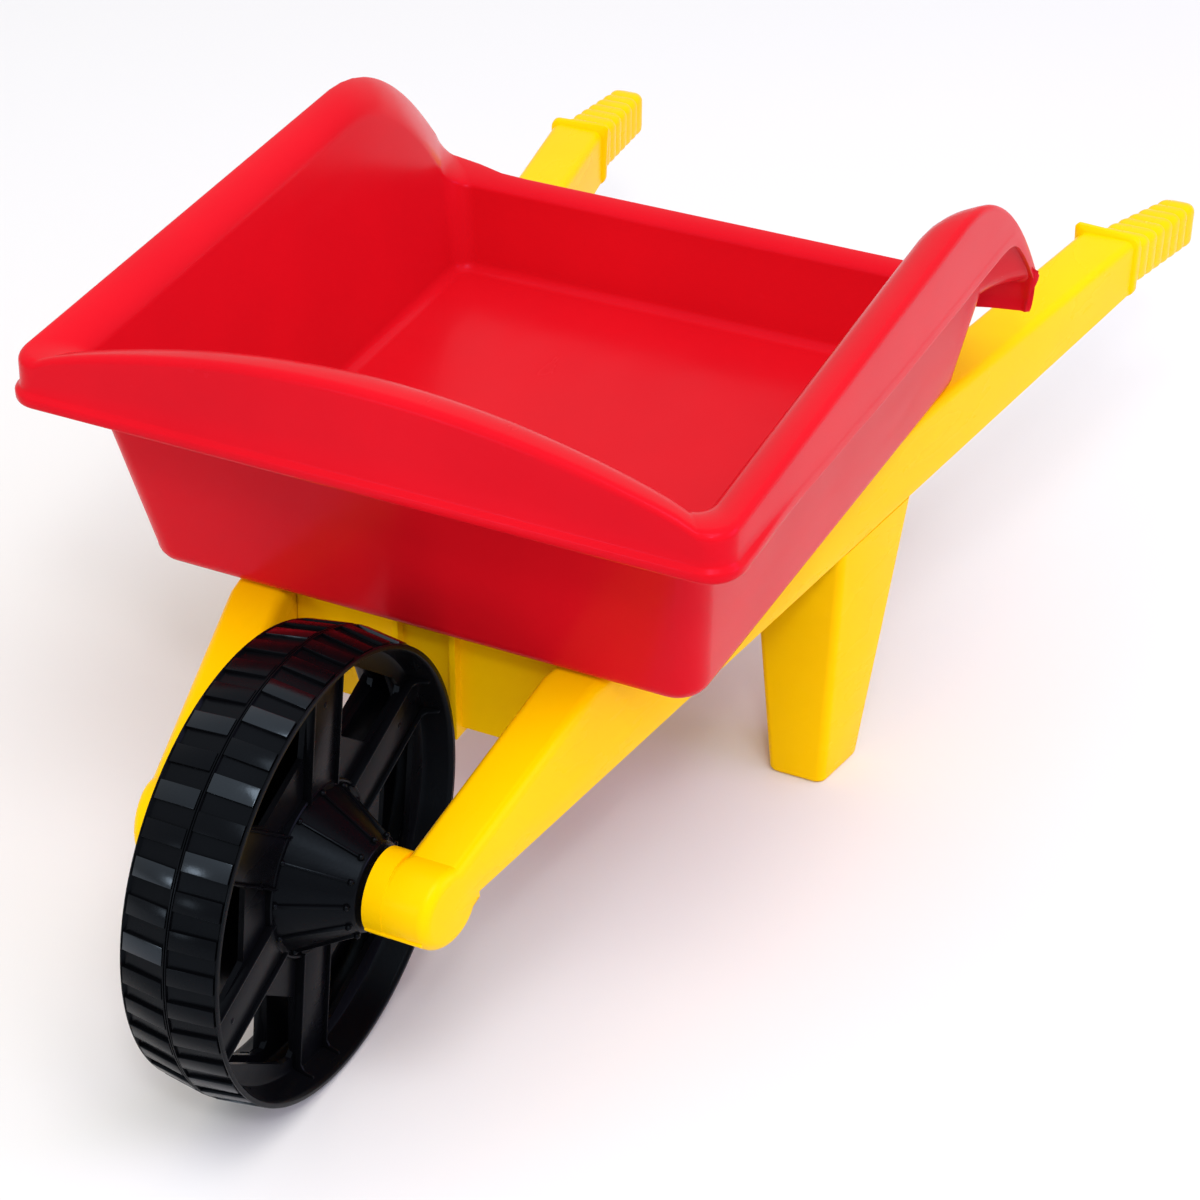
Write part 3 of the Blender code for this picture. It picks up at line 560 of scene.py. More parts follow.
def is_upper(edge):
    """Whether an edge belongs to the rail's top or to the outer rim round the boss."""
    ends = [vert.co for vert in edge.verts]
    on_top = all(end.z > min(deck_z(end.y), arm_top_z(end.y)) - 0.006 for end in ends)
    round_boss = all(end.y < 0.0165 and end.x > 0.058 for end in ends)
    return on_top or round_boss


def rail_outline():
    start = math.atan2(-0.0018, 0.0155)
    end = math.radians(70) - 2 * math.pi
    arc = [start + (end - start) * i / 40 for i in range(41)]
    outline = [(BOSS_RADIUS * math.cos(angle), axle.z + BOSS_RADIUS * math.sin(angle)) for angle in arc]
    return outline + [(ARM_END, deck_z(ARM_END)), (RAIL_END, deck_z(RAIL_END)), (RAIL_END, keel_z(RAIL_END))]


def channel_outline():
    front, rear, below = 0.026, RAIL_END - 0.006, 0.05
    top = [(front, arm_top_z(front) - 0.0035), (ARM_END, deck_z(ARM_END) - RAIL_WALL)]
    return [(front, below), *top, (rear, deck_z(rear) - RAIL_WALL), (rear, below)]


def section(inner, outer, low, high, y, radius, beak=0.0):
    corners = [Vector((x, y, z)) for x, z in ((inner, low), (outer, low), (outer, high), (inner, high))]
    corners[3] += Vector((-beak, 0, beak))
    return rounded_quad(corners, (radius, radius, radius, radius * (1 - 0.5 * (beak > 0))))


def collar():
    """A flange round the rail's end, with a small beak at its upper inner corner."""
    rings = []
    for step, proud, beak in ((-0.0054, -0.0008, 0), (-0.0046, 0.0008, 0), (-0.0040, 0.0014, 0.0004),
                              (-0.0030, 0.0016, 0.0016), (-0.0006, 0.0016, 0.0016), (0.0004, 0.0012, 0.0004),
                              (0.0010, 0.0006, 0)):
        y = RAIL_END + step
        box = (rail_inner_x(y) - proud, rail_outer_x(y) + proud, keel_z(y) - proud, deck_z(y) + proud)
        rings.append(section(*box, y, RAIL_EDGE, beak))
    return loft(rings)


def grip():
    """A tapered bar that droops, ridged across its top and sides, with a rounded end."""
    start = RAIL_END - 0.002
    rows = 12 * GRIP_RIDGES
    rings = []
    for i in range(rows + 1):
        t = i / rows
        inner, outer, low, high = [a + (b - a) * t for a, b in zip(GRIP_START_BOX, GRIP_END_BOX)]
        ridge = RIDGE * abs(math.sin(math.pi * GRIP_RIDGES * t)) if t > 0.06 else 0
        y = start + (GRIP_END - 0.0015 - start) * t
        rings.append(section(inner - ridge, outer + ridge, low, high + ridge, y, 0.0045))
    inner, outer, low, high = GRIP_END_BOX
    for degrees in (30, 60, 80):
        angle = math.radians(degrees)
        inset, y = 0.0015 * (1 - math.cos(angle)), GRIP_END - 0.0015 * (1 - math.sin(angle))
        rings.append(section(inner + inset, outer - inset, low + inset, high - inset, y, 0.0045))
    return loft(rings)


def combine(target, shape, operation):
    tool = working_object("tool", shape)
    tool.hide_render = True
    modifier = target.modifiers.new(operation, "BOOLEAN")
    modifier.operation = operation
    modifier.object = tool
    return tool


def joined_and_cut(obj, side, joined, cut):
    """Joins and cuts shapes made for the right side, and gives the mesh. The object and shapes are removed."""
    tools = [combine(obj, to_side(shape, side), "UNION") for shape in joined]
    tools += [combine(obj, to_side(shape, side), "DIFFERENCE") for shape in cut]
    mesh = plain_mesh(obj)
    for tool in tools:
        bpy.data.objects.remove(tool)
    return mesh


def side_rail(side):
    rail = working_object("rail_work", to_side(plank(rail_outline(), rounded=True), side))
    seam_angle = math.radians(207)
    seam_y, seam_z = BOSS_RADIUS * math.cos(seam_angle), axle.z + BOSS_RADIUS * math.sin(seam_angle)
    joined = [
        rod_x(BOSS_RADIUS + 0.00015, BOSS_INNER_X, 0.0475, 0, axle.z, 96),
        rod_x(0.0010, BOSS_INNER_X + 0.0004, 0.0645, seam_y, seam_z, 12),
        collar(),
        grip(),
    ]
    cut = [plank(channel_outline(), inset=RAIL_WALL), rod_x(0.0043, 0.030, 0.0610, 0, axle.z)]
    for y, z in (*CROSS_SCREWS, LEG_SCREW):
        cut.append(rod_x(SCREW_HOLE, rail_inner_x(y) - 0.003, rail_inner_x(y) + 0.006, y, z, 24))
    return behind_axle(joined_and_cut(rail, side, joined, cut))


frame_yellow = moulded_plastic(
    "frame_yellow", (0.97, 0.570, 0.0003), depth=0.03, gloss=(0.22, 0.38), sheen=0.07, tint=(1.0, 0.90, 0.45)
)
for side, label in ((-1, "left"), (1, "right")):
    rail_mesh = side_rail(side)
    fit(f"{label}_rail", rail_mesh, frame_yellow, "frame", [f"{label}_side_rail"], sharp=30)

# Legs: hollow tapered legs of the same yellow plastic, open at the top. Each leans forward and plugs up into
# its rail, and its inner side flares to stand beside the rail. One screw holds it. The foot is rounded.

LEG_FRONT, LEG_REAR = (0.2603, 0.2885), (0.2920, 0.3500)
LEG_INNER_X, LEG_FLARE, LEG_SPLAY = 0.0974, 0.0248, 0.0110
FIT_GAP = 0.0003


def leg_slice(z, front, rear, inner, outer, radius):
    """inner and outer are (x at the front, x at the rear); z gives a height for each y."""
    places = ((inner[0], front), (outer[0], front), (outer[1], rear), (inner[1], rear))
    return rounded_quad([Vector((x, y, z(y))) for x, y in places], (radius,) * 4)


def leg_section(t, shrink=0.0, radius=0.004):
    front = LEG_FRONT[0] + (LEG_FRONT[1] - LEG_FRONT[0]) * t + shrink
    rear = LEG_REAR[0] + (LEG_REAR[1] - LEG_REAR[0]) * t - shrink
    splay = LEG_SPLAY * (1 - t) - shrink
    inner = LEG_INNER_X - LEG_FLARE * t + shrink
    across = (inner, inner + INNER_SPREAD * (rear - front))
    height = lambda y: (keel_z(y) - FIT_GAP) * t
    outer = (rail_outer_x(front) + splay, rail_outer_x(rear) + splay)
    return leg_slice(height, front, rear, across, outer, radius)


def between_rail_walls(front, rear, clear, heights, edge_x=None):
    """A block inside the rail or, with edge_x, beside its inner face."""
    rings = []
    for height in heights:
        inner = (rail_inner_x(front) + clear, rail_inner_x(rear) + clear)
        outer = (rail_outer_x(front) - clear, rail_outer_x(rear) - clear)
        if edge_x is not None:
            inner = (edge_x, edge_x + INNER_SPREAD * (rear - front))
            outer = (rail_inner_x(front) - clear, rail_inner_x(rear) - clear)
        rings.append(leg_slice(height, front, rear, inner, outer, 0.003))
    return loft(rings)


def leg(side):
    rounded_foot = ((0.0, 0.0028), (0.0025, 0.0016), (0.007, 0.0008), (0.013, 0.0003))
    straight_sides = ((0.022, 0.0), (0.5, 0.0), (1.0, 0.0))
    body = loft([leg_section(t, shrink) for t, shrink in rounded_foot + straight_sides])
    obj = working_object("leg_work", to_side(body, side))
    front, rear = LEG_FRONT[1] + 0.0005, LEG_REAR[1] - 0.0005
    edge_x = LEG_INNER_X - LEG_FLARE - 0.0010
    flare = (lambda y: keel_z(y) - 0.0123, lambda y: deck_z(y) - 0.0010)
    hollow = (lambda y: keel_z(y) - 0.0163, lambda y: deck_z(y) + 0.0030)
    plug = (lambda y: keel_z(y) - 0.004, lambda y: keel_z(y) + 0.026)
    plug_hollow = (lambda y: keel_z(y) - 0.014, lambda y: keel_z(y) + 0.035)
    wall = RAIL_WALL
    joined = [
        between_rail_walls(front, rear, 0.0004, flare, edge_x),
        between_rail_walls(0.293, 0.345, wall + FIT_GAP, plug),
    ]
    screw_y, screw_z = LEG_SCREW
    screw_x = rail_inner_x(screw_y)
    cut = [
        loft([leg_section(0.035, wall, 0.002), leg_section(0.90, wall, 0.002)]),
        between_rail_walls(0.2985, 0.3395, 0.0055, plug_hollow),
        between_rail_walls(front + wall, rear - wall, 0.0004 + wall, hollow, edge_x + wall),
        rod_x(SCREW_HOLE, screw_x - 0.006, screw_x + 0.012, screw_y, screw_z, 24),
        rod_x(0.0047, screw_x - 0.010, screw_x - 0.0002, screw_y, screw_z, 32),
    ]
    return behind_axle(joined_and_cut(obj, side, joined, cut))


for side, label in ((-1, "left"), (1, "right")):
    leg_mesh = leg(side)
    fit(f"{label}_tapered_leg", leg_mesh, frame_yellow, "frame", [f"{label}_leg"], sharp=30)

# Cross-members: two yellow channels, open below, that tie the rails together under the front and the rear of
# the tray. The front one carries two upright ribs behind the wheel. The mould softly rounds their edges.


def softened(node, width):
    """A copy of a frame node with its sharp edges rounded."""
    bm = bmesh.new()
    bm.from_mesh(frame["nodes"][node].data)
    bmesh.ops.remove_doubles(bm, verts=bm.verts, dist=0.00001)
    bmesh.ops.dissolve_limit(bm, angle_limit=math.radians(1), verts=bm.verts, edges=bm.edges)
    obj = working_object(node + "_work", bm)
    edge = obj.modifiers.new("edge", "BEVEL")
    edge.width = width
    edge.segments = 3
    edge.limit_method = "ANGLE"
    edge.angle_limit = math.radians(40)
    edge.use_clamp_overlap = True
    return plain_mesh(obj)


for place in ("front", "rear"):
    cross_mesh = softened(f"{place}_cross_member", 0.0006)
    name = f"{place}_cross_channel"
    fit(name, cross_mesh, frame_yellow, "frame", [f"{place}_cross_member"], sharp=30)

# Wheel: two dished halves of near-black satin plastic, back to back, their raised tread blocks half a pitch
# out of step. Each has a thin line at the seam and at the rim's edge, six raised spokes with a thin rib
# along each edge, six wedge windows, and a finned hub cone with a raised ring round its foot.

HALF_WIDTH, SEAM = 0.0212, 0.00015
TREAD_BLOCKS, BLOCK_RISE = 40, 0.0015
SPOKES, SPOKE_TURN, SPOKE_HALF = 6, math.radians(20.5), 0.0110
WEB_LOW, WEB_HIGH, SPOKE_HIGH = 0.005, 0.0075, 0.0103
HUB_FOOT, HUB_END, HUB_END_RADIUS = 0.035, 0.0364, 0.0185
HUB_FINS = 12
RIM_TAPER = 0.003 / HALF_WIDTH


def wheel_plastic():
    """Near-black plastic; each tread block has its own gloss, from the attribute its copy carries."""
    material = moulded_plastic("wheel_black", (0.0018, 0.0019, 0.0026), 0.25, (0.24, 0.38), 2.0)
    nodes, links = material.node_tree.nodes, material.node_tree.links
    shader = nodes["Principled BSDF"]
    patch = nodes.new("ShaderNodeAttribute")
    patch.attribute_name = "patch"
    worn = nodes.new("ShaderNodeMath")
    worn.operation = "MULTIPLY_ADD"
    worn.inputs[1].default_value = -0.10
    links.new(patch.outputs["Fac"], worn.inputs[0])
    links.new(shader.inputs["Roughness"].links[0].from_socket, worn.inputs[2])
    links.new(worn.outputs["Value"], shader.inputs["Roughness"])
    bright = nodes.new("ShaderNodeMath")
    bright.operation = "POWER"
    bright.inputs[1].default_value = 4.5
    links.new(patch.outputs["Fac"], bright.inputs[0])
    sheen = nodes.new("ShaderNodeMapRange")
    sheen.inputs["To Min"].default_value = 0.07
    sheen.inputs["To Max"].default_value = 0.6
    links.new(bright.outputs["Value"], sheen.inputs["Value"])
    links.new(sheen.outputs["Result"], shader.inputs["Specular IOR Level"])
    shader.inputs["Specular Tint"].default_value = (0.66, 0.82, 1.0, 1)
    return material


def new_tree(name, **inputs):
    """A geometry tree with a Geometry input and the given ones, in which _ stands for a space."""
    tree = bpy.data.node_groups.new(name, "GeometryNodeTree")
    for label, kind in {"Geometry": "Geometry", **inputs}.items():
        words = label.replace("_", " ")
        tree.interface.new_socket(name=words, in_out="INPUT", socket_type=f"NodeSocket{kind}")
    tree.interface.new_socket(name="Geometry", in_out="OUTPUT", socket_type="NodeSocketGeometry")
    return tree


def set_inputs(obj, tree, values):
    """Puts the tree on the object, with its inputs set by their identifiers."""
    modifier = obj.modifiers.new(tree.name, "NODES")
    modifier.node_group = tree
    for item in tree.interface.items_tree:
        if item.in_out == "INPUT" and item.name in values:
            modifier[item.identifier] = values[item.name]


def ring_tree():
    """Adds copies of a piece, evenly round the axle, to the geometry that comes in."""
    tree = new_tree(
        "copies_round_the_axle", Piece="Object", Copies="Int", Radius="Float", First_Angle="Float",
        Unevenness="Float", Patchiness="Float", Seed="Int", Finish="Material",
    )

    def node(kind, **settings):
        made = tree.nodes.new(kind)
        for key, value in settings.items():
            setattr(made, key, value)
        return made

    def link(source, target):
        tree.links.new(source, target)

    given, result = node("NodeGroupInput"), node("NodeGroupOutput")
    circle = node("GeometryNodeMeshCircle")
    link(given.outputs["Copies"], circle.inputs["Vertices"])
    link(given.outputs["Radius"], circle.inputs["Radius"])
    start = node("ShaderNodeCombineXYZ")
    link(given.outputs["First Angle"], start.inputs["Z"])
    turned_circle = node("GeometryNodeTransform")
    link(circle.outputs["Mesh"], turned_circle.inputs["Geometry"])
    link(start.outputs["Vector"], turned_circle.inputs["Rotation"])

    number = node("GeometryNodeInputIndex")
    whole_turns = node("ShaderNodeMath", operation="DIVIDE")
    link(number.outputs["Index"], whole_turns.inputs[0])
    link(given.outputs["Copies"], whole_turns.inputs[1])
    angle = node("ShaderNodeMath", operation="MULTIPLY_ADD")
    angle.inputs[1].default_value = 2 * math.pi
    link(whole_turns.outputs["Value"], angle.inputs[0])
    link(given.outputs["First Angle"], angle.inputs[2])

    random_tilt = node("FunctionNodeRandomValue", data_type="FLOAT_VECTOR")
    random_tilt.inputs["Min"].default_value = (-1, -1, -1)
    link(given.outputs["Seed"], random_tilt.inputs["Seed"])
    scaled_tilt = node("ShaderNodeVectorMath", operation="SCALE")
    link(random_tilt.outputs["Value"], scaled_tilt.inputs[0])
    link(given.outputs["Unevenness"], scaled_tilt.inputs["Scale"])
    tilt_parts = node("ShaderNodeSeparateXYZ")
    link(scaled_tilt.outputs["Vector"], tilt_parts.inputs["Vector"])
    facing = node("ShaderNodeCombineXYZ")
    link(tilt_parts.outputs["Y"], facing.inputs["Y"])
    link(angle.outputs["Value"], facing.inputs["Z"])

    piece = node("GeometryNodeObjectInfo")
    piece.inputs["As Instance"].default_value = True
    link(given.outputs["Piece"], piece.inputs["Object"])
    copies = node("GeometryNodeInstanceOnPoints")
    link(turned_circle.outputs["Geometry"], copies.inputs["Points"])
    link(piece.outputs["Geometry"], copies.inputs["Instance"])
    link(facing.outputs["Vector"], copies.inputs["Rotation"])

    patch = node("FunctionNodeRandomValue", data_type="FLOAT")
    link(given.outputs["Seed"], patch.inputs["Seed"])
    some_patch = node("ShaderNodeMath", operation="MULTIPLY")
    link([s for s in patch.outputs if s.enabled and s.name == "Value"][0], some_patch.inputs[0])
    link(given.outputs["Patchiness"], some_patch.inputs[1])
    marked = node("GeometryNodeStoreNamedAttribute", data_type="FLOAT", domain="INSTANCE")
    marked.inputs["Name"].default_value = "patch"
    link(copies.outputs["Instances"], marked.inputs["Geometry"])
    link(some_patch.outputs["Value"], marked.inputs["Value"])
    both = node("GeometryNodeJoinGeometry")
    link(marked.outputs["Geometry"], both.inputs["Geometry"])
    link(given.outputs["Geometry"], both.inputs["Geometry"])
    real = node("GeometryNodeRealizeInstances")
    link(both.outputs["Geometry"], real.inputs["Geometry"])
    finish = node("GeometryNodeSetMaterial")
    link(real.outputs["Geometry"], finish.inputs["Geometry"])
    link(given.outputs["Finish"], finish.inputs["Material"])
    link(finish.outputs["Geometry"], result.inputs["Geometry"])
    return tree


def add_ring(obj, tree, piece, copies, first_angle, radius=0.0, unevenness=0.0, patchiness=0.0, seed=0):
    values = {
        "Piece": piece, "Copies": copies, "Radius": radius, "First Angle": first_angle,
        "Unevenness": unevenness, "Patchiness": patchiness, "Seed": seed, "Finish": wheel_black,
    }
    set_inputs(obj, tree, values)


def extruded(outline, low, high, axis, bevel=0.0):
    """A flat outline made thick. With axis Z its points are (radial, tangential), with Y (radial, height)."""
    bm = bmesh.new()
    rings = []
    for level in (low, high):
        places = [(a, b, level) if axis == "Z" else (a, level, b) for a, b in outline]
        rings.append([bm.verts.new(place) for place in places])
    count = len(outline)
    for i in range(count):
        j = (i + 1) % count
        bm.faces.new((rings[0][i], rings[0][j], rings[1][j], rings[1][i]))
    bm.faces.new(rings[0][::-1])
    bm.faces.new(rings[1])
    bmesh.ops.recalc_face_normals(bm, faces=bm.faces)
    if bevel:
        bmesh.ops.bevel(bm, geom=bm.edges[:], offset=bevel, segments=2, profile=0.5, affect="EDGES")
    return bm


def bead(place, radius, flat=1.0):
    bm = bmesh.new()
    bmesh.ops.create_icosphere(bm, subdivisions=2, radius=radius)
    bmesh.ops.scale(bm, vec=(1, 1, flat), verts=bm.verts)
    bmesh.ops.translate(bm, vec=place, verts=bm.verts)
    return bm


def tread_block():
    """Made round its own middle, BLOCK_RISE proud of the tread, following the tread's taper."""
    half = math.pi * axle.z / TREAD_BLOCKS / 2
    low, high = 0.0011, HALF_WIDTH - 0.0014
    top_low, top_high = 0.0980 - RIM_TAPER * low - 0.0960, 0.0980 - RIM_TAPER * high - 0.0960
    bm = bmesh.new()
    bmesh.ops.create_cube(bm, size=1)
    for vert in bm.verts:
        top = (top_low if vert.co.z < 0 else top_high)
        vert.co.x = top if vert.co.x > 0 else -0.0035
        vert.co.y = math.copysign(half, vert.co.y)
        vert.co.z = low if vert.co.z < 0 else high
    bmesh.ops.bevel(bm, geom=bm.edges[:], offset=0.0003, segments=2, profile=0.5, affect="EDGES")
    return bm


def spoke():
    """A raised plate with a thin rib along each edge; the ribs bend up the rim's inner wall."""
    plate = [(0.0325, -0.0108), (0.0905, -0.0108), (0.0905, 0.0108), (0.0325, 0.0108)]
    rib = [(0.0340, 0.0070), (0.0340, 0.0113), (0.0862, 0.0113), (0.0884, 0.0128)]
    rib += [(0.0898, 0.0172), (0.0918, 0.0176), (0.0908, 0.0070)]
    shapes = [extruded(plate, WEB_LOW + 0.0006, SPOKE_HIGH - 0.0006, "Z", 0.0003)]
    for side in (-1, 1):
        middle = side * (SPOKE_HALF - 0.0005)
        shapes.append(extruded(rib, middle - 0.0005, middle + 0.0005, "Y", 0.0002))
    shapes.append(bead((0.073, 0, SPOKE_HIGH - 0.0007), 0.0013, 0.4))
    return merged(shapes)


def window():
    """Cuts one wedge window between two spokes."""
    spread = math.tan(math.pi / SPOKES)
    margin = SPOKE_HALF / math.cos(math.pi / SPOKES) + 0.0016
    inner, outer = 0.053, 0.081
    low, high = inner * spread - margin, outer * spread - margin
    corner = [(outer - 0.006, high - 0.001), (outer - 0.0025, high - 0.0018)]
    upper = [(inner, low), *corner, (outer, 0.7 * high)]
    return extruded([(x, -y) for x, y in upper] + upper[::-1], 0.003, 0.012, "Z")


def fin():
    """A thin fin up the hub's cone with a small bead at each end."""
    slope = (HUB_FOOT - HUB_END_RADIUS) / (HUB_END - WEB_HIGH)
    on_cone = lambda height: HUB_END_RADIUS + slope * (HUB_END - height)
    low, high = 0.0088, HUB_END - 0.0014
    side = [(on_cone(low) - 0.004, low), (on_cone(low) + 0.0012, low), (on_cone(high) + 0.0012, high)]
    side += [(on_cone(high) - 0.004, high)]
    shapes = [extruded(side, -0.0006, 0.0006, "Y", 0.0003)]
    for height in (low + 0.0010, high - 0.0012):
        shapes.append(bead((on_cone(height) + 0.0006, 0, height), 0.0014))
    return merged(shapes)


def half_profile():
    """(radius, height) from the seam, over the tread and the rim's edge, across the web and up the hub."""
    tread = 0.0980 - BLOCK_RISE
    seam_line = [(0.0925, SEAM), (0.0972, SEAM), (0.0977, 0.0003), (0.0977, 0.0007), (tread, 0.0010)]
    rim_edge = [(tread - RIM_TAPER * 0.0195, 0.0195), (0.0944, 0.0201), (0.0949, 0.0205), (0.0949, 0.0210)]
    rim_edge += [(0.0945, 0.0212), (0.0930, 0.0212), (0.0926, 0.0208)]
    rim_inside = [(0.0920, 0.0190), (0.0905, 0.0100), (0.0898, 0.0082), (0.0884, WEB_HIGH)]
    foot_ring = [(0.0374, WEB_HIGH), (0.0372, 0.0096), (0.0367, 0.0101), (0.0360, 0.0099), (0.0354, 0.0088)]
    cone = [(0.0342, 0.0089), (0.0189, 0.0352), (0.0186, 0.0359), (0.0181, 0.0363), (0.0175, HUB_END)]
    bore = [(0.0048, HUB_END), (0.0044, HUB_END - 0.0004), (0.0044, SEAM), (0.0080, SEAM)]
    dish = [(0.0080, 0.0334), (0.0160, 0.0334), (0.0320, WEB_LOW), (0.0905, WEB_LOW), (0.0915, 0.0040)]
    return seam_line + rim_edge + rim_inside + foot_ring + cone + bore + dish


def wheel_half(side, tree):
    """Made about Z with its outer face up, then laid on the axle."""
    half = working_object("half_work", turned(half_profile(), 240, ring=True))
    cutter_base = working_object("windows_work", bmesh.new())
    pieces = {name: working_object(name + "_work", shape()) for name, shape in
              (("window", window), ("block", tread_block), ("spoke", spoke), ("fin", fin))}
    add_ring(cutter_base, tree, pieces["window"], SPOKES, SPOKE_TURN + math.pi / SPOKES)
    windows = half.modifiers.new("windows", "BOOLEAN")
    windows.operation = "DIFFERENCE"
    windows.object = cutter_base
    phase = 0 if side > 0 else math.pi / TREAD_BLOCKS
    add_ring(half, tree, pieces["block"], TREAD_BLOCKS, phase, 0.0960, math.radians(1.1), 1.0, 7 + side)
    add_ring(half, tree, pieces["spoke"], SPOKES, SPOKE_TURN)
    add_ring(half, tree, pieces["fin"], HUB_FINS, SPOKE_TURN)
    mesh = plain_mesh(half)
    for obj in (cutter_base, *pieces.values()):
        bpy.data.objects.remove(obj)
    place = Matrix(((0, 0, side, 0), (1, 0, 0, axle.y), (0, 1, 0, axle.z), (0, 0, 0, 1)))
    mesh.transform(place)
    if side < 0:
        mesh.flip_normals()
    return mesh


wheel_black = wheel_plastic()
axle_ring = ring_tree()
for side, label in ((-1, "left"), (1, "right")):
    half_mesh = wheel_half(side, axle_ring)
    name = f"{label}_half_wheel"
    fit(name, half_mesh, wheel_black, "wheel", [f"{label}_wheel_half"], sharp=32)

# Axle and spacers: a bright zinc-plated steel rod with chamfered ends, trapped between the blind bosses, and
# two loose spacers of unpigmented slippery plastic between the hub's ends and the bosses.


def zinc_plate(name):
    """Bright zinc on steel: a faint spangle, drawn lines along X and small dull spots."""
    material = moulded_plastic(name, (0.64, 0.65, 0.66), 0.06, (0.20, 0.42), 0.6)
    material.node_tree.nodes["Principled BSDF"].inputs["Metallic"].default_value = 1.0
    return material


def laid_along_x(bm, side=1):
    place = Matrix(((0, 0, side, 0), (1, 0, 0, 0), (0, side, 0, axle.z), (0, 0, 0, 1)))
    bmesh.ops.transform(bm, matrix=place, verts=bm.verts)
    bmesh.ops.recalc_face_normals(bm, faces=bm.faces)
    mesh = bpy.data.meshes.new("along_x")
    bm.to_mesh(mesh)
    bm.free()
    return behind_axle(mesh)


zinc = zinc_plate("zinc_plate")
rod_half, rod_radius, chamfer = 0.0600, 0.0040, 0.0007
rod_profile = [(0, -rod_half), (rod_radius - chamfer, -rod_half), (rod_radius, -rod_half + chamfer)]
rod_profile += [(radius, -height) for radius, height in rod_profile[::-1]]
fit("axle_rod", laid_along_x(turned(rod_profile, 64)), zinc, "frame", ["axle"])

spacer_plastic = moulded_plastic("spacer_natural", (0.78, 0.77, 0.71), 0.03, (0.40, 0.52))
spacer_low, spacer_high = HUB_END + 0.0003, BOSS_INNER_X - 0.0003
edge = 0.0003
spacer = [(0.0045, spacer_low + edge), (0.0045 + edge, spacer_low)]
spacer += [(0.0095 - edge, spacer_low), (0.0095, spacer_low + edge)]
spacer += [(radius, spacer_low + spacer_high - height) for radius, height in spacer[::-1]]
for side, label in ((-1, "left"), (1, "right")):
    spacer_mesh = laid_along_x(turned(spacer, 48, ring=True), side)
    fit(f"{label}_spacer", spacer_mesh, spacer_plastic, "frame", [f"{label}_hub_washer"])

# Screws: zinc-plated thread-forming screws with pan heads and cross recesses. Four hold the tray down, four
# hold the cross-members, two hold the legs, and three hold the wheel's halves together from the left.

HEAD_RADIUS, HEAD_HEIGHT, SHANK_RADIUS = 0.0042, 0.0024, 0.0016


def screw_head():
    """Head up, standing on the seat at its own origin."""
    dome = [(0, HEAD_HEIGHT)]
    for degrees in range(15, 91, 15):
        angle = math.radians(degrees)
        dome.append((HEAD_RADIUS * math.sin(angle) ** 0.8, 0.0009 + (HEAD_HEIGHT - 0.0009) * math.cos(angle)))
    dome += [(HEAD_RADIUS, 0.0003), (HEAD_RADIUS - 0.0003, 0), (0, 0)]
    head = working_object("head_work", turned(dome, 40))
    recesses = []
    for quarter in range(2):
        slot = bmesh.new()
        bmesh.ops.create_cube(slot, size=1)
        bmesh.ops.scale(slot, vec=(0.0042, 0.0009, 0.0032), verts=slot.verts)
        bottom = [vert for vert in slot.verts if vert.co.z < 0]
        bmesh.ops.scale(slot, vec=(0.45, 0.8, 1), verts=bottom)
        place = Matrix.Translation((0, 0, HEAD_HEIGHT)) @ Matrix.Rotation(quarter * math.pi / 2, 4, "Z")
        bmesh.ops.transform(slot, matrix=place, verts=slot.verts)
        recesses.append(slot)
    return joined_and_cut(head, 1, [], recesses)


def screw_shank():
    """A unit-long threaded shank that hangs down from its own origin."""
    turns = 9
    profile = [(0, 0)]
    for i in range(turns):
        top = -i / turns * 0.86
        profile += [(SHANK_RADIUS * 0.78, top), (SHANK_RADIUS, top - 0.045)]
    profile += [(SHANK_RADIUS * 0.78, -0.86), (0, -1)]
    return turned(profile, 24)


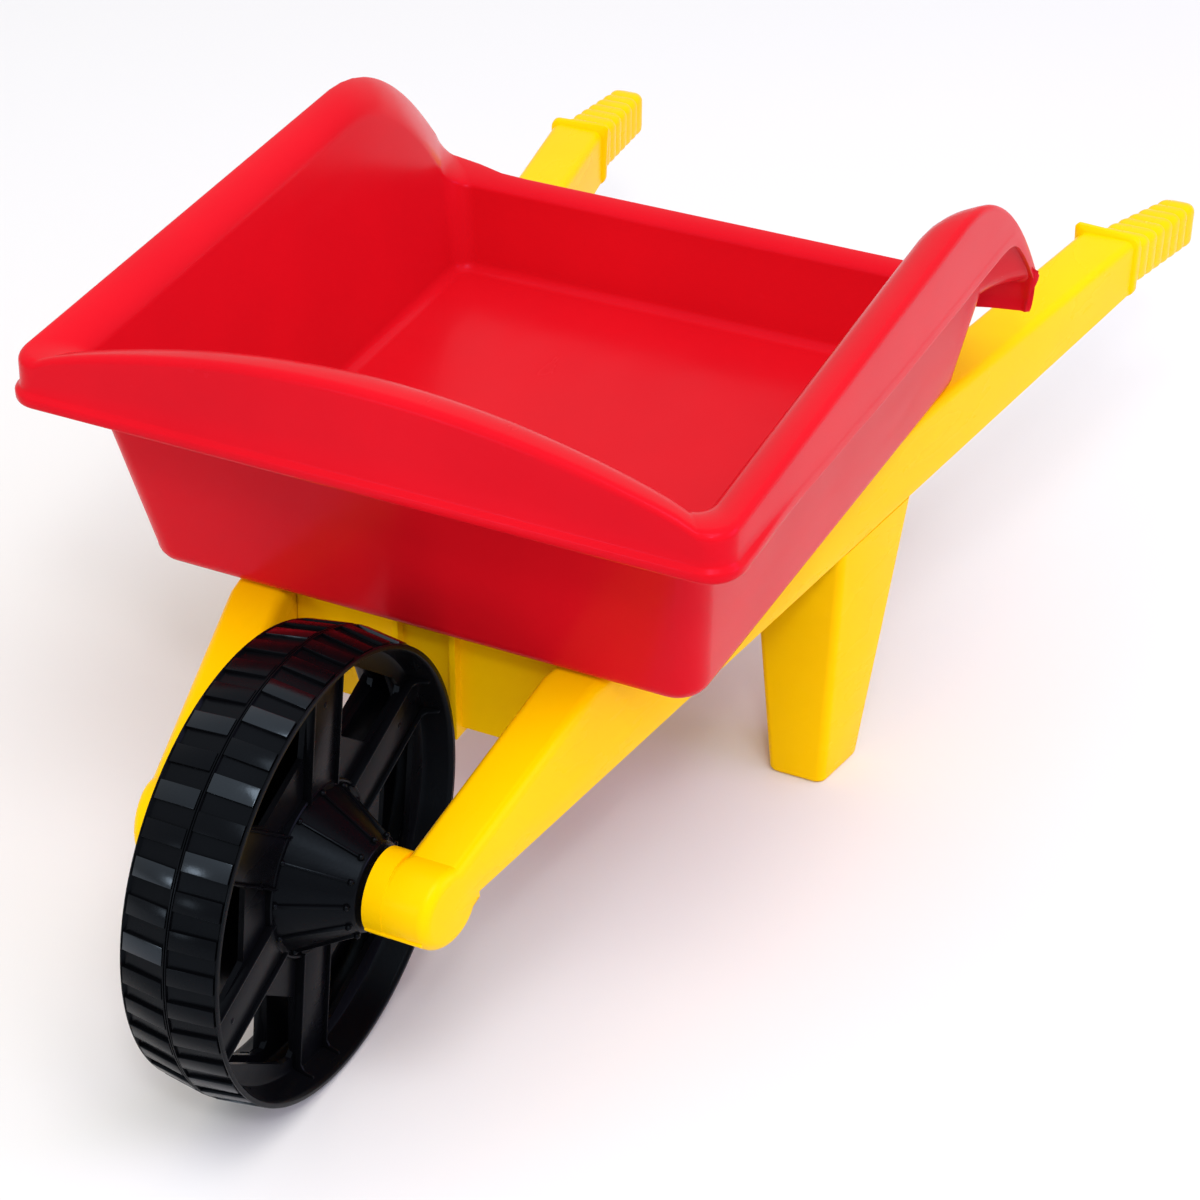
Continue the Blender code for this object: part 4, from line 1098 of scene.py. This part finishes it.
def screws_tree():
    """Puts a head and a shank at each point, turned and lengthened as the point's attributes say."""
    tree = new_tree("screws_at_points", Head="Object", Shank="Object", Head_Size="Float", Finish="Material")
    nodes, link = tree.nodes, tree.links.new
    given, result = nodes.new("NodeGroupInput"), nodes.new("NodeGroupOutput")
    both = nodes.new("GeometryNodeJoinGeometry")

    def attribute(name, kind):
        reader = nodes.new("GeometryNodeInputNamedAttribute")
        reader.data_type = kind
        reader.inputs["Name"].default_value = name
        return reader.outputs["Attribute"]

    turn_to = attribute("turn", "FLOAT_VECTOR")
    long = nodes.new("ShaderNodeCombineXYZ")
    long.inputs["X"].default_value = 1
    long.inputs["Y"].default_value = 1
    link(attribute("length", "FLOAT"), long.inputs["Z"])
    for part, size in (("Head", given.outputs["Head Size"]), ("Shank", long.outputs["Vector"])):
        source = nodes.new("GeometryNodeObjectInfo")
        source.inputs["As Instance"].default_value = True
        link(given.outputs[part], source.inputs["Object"])
        copies = nodes.new("GeometryNodeInstanceOnPoints")
        link(given.outputs["Geometry"], copies.inputs["Points"])
        link(source.outputs["Geometry"], copies.inputs["Instance"])
        link(turn_to, copies.inputs["Rotation"])
        link(size, copies.inputs["Scale"])
        link(copies.outputs["Instances"], both.inputs["Geometry"])
    real = nodes.new("GeometryNodeRealizeInstances")
    link(both.outputs["Geometry"], real.inputs["Geometry"])
    finish = nodes.new("GeometryNodeSetMaterial")
    link(real.outputs["Geometry"], finish.inputs["Geometry"])
    link(given.outputs["Finish"], finish.inputs["Material"])
    link(finish.outputs["Geometry"], result.inputs["Geometry"])
    return tree


def screw_seat(node):
    """(seat, turn, shank length) of a screw node: where its head meets its shank, and how it is turned."""
    low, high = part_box(node)
    middle = (low + high) / 2
    if node.startswith("tray_screw"):
        seat = Vector((middle.x, middle.y, low.z + HEAD_HEIGHT))
        return seat, (math.pi, 0, 0), high.z - seat.z
    inwards = 1 if node.startswith("wheel_screw") or middle.x < 0 else -1
    head_side = -1 if node.startswith("wheel_screw") else inwards
    end_x = high.x if head_side > 0 else low.x
    seat = Vector((end_x - head_side * HEAD_HEIGHT, middle.y, middle.z))
    length = (high.x - low.x) - HEAD_HEIGHT
    return seat, (0, head_side * math.pi / 2, 0), length


def screws(name, body, nodes, tree, head, shank):
    seats = [screw_seat(node) for node in nodes]
    points = bpy.data.meshes.new("seats")
    points.from_pydata([seat for seat, _, _ in seats], [], [])
    points.attributes.new("turn", "FLOAT_VECTOR", "POINT")
    points.attributes.new("length", "FLOAT", "POINT")
    for i, (_, facing, length) in enumerate(seats):
        points.attributes["turn"].data[i].vector = facing
        points.attributes["length"].data[i].value = length
    obj = bpy.data.objects.new("seats_work", points)
    bpy.context.scene.collection.objects.link(obj)
    set_inputs(obj, tree, {"Head": head, "Shank": shank, "Head Size": 1.0, "Finish": zinc})
    fit(name, plain_mesh(obj), zinc, body, nodes)


head_object = bpy.data.objects.new("head_pattern", screw_head())
bpy.context.scene.collection.objects.link(head_object)
shank_object = working_object("shank_pattern", screw_shank())
seats_tree = screws_tree()
all_screws = sorted(node for node in frame["nodes"] if "_screw_" in node)
wheel_screws = [node for node in all_screws if node.startswith("wheel")]
frame_screws = [node for node in all_screws if node not in wheel_screws]
screws("frame_screws", "frame", frame_screws, seats_tree, head_object, shank_object)
screws("wheel_screws", "wheel", wheel_screws, seats_tree, head_object, shank_object)
bpy.data.objects.remove(head_object)
bpy.data.objects.remove(shank_object)
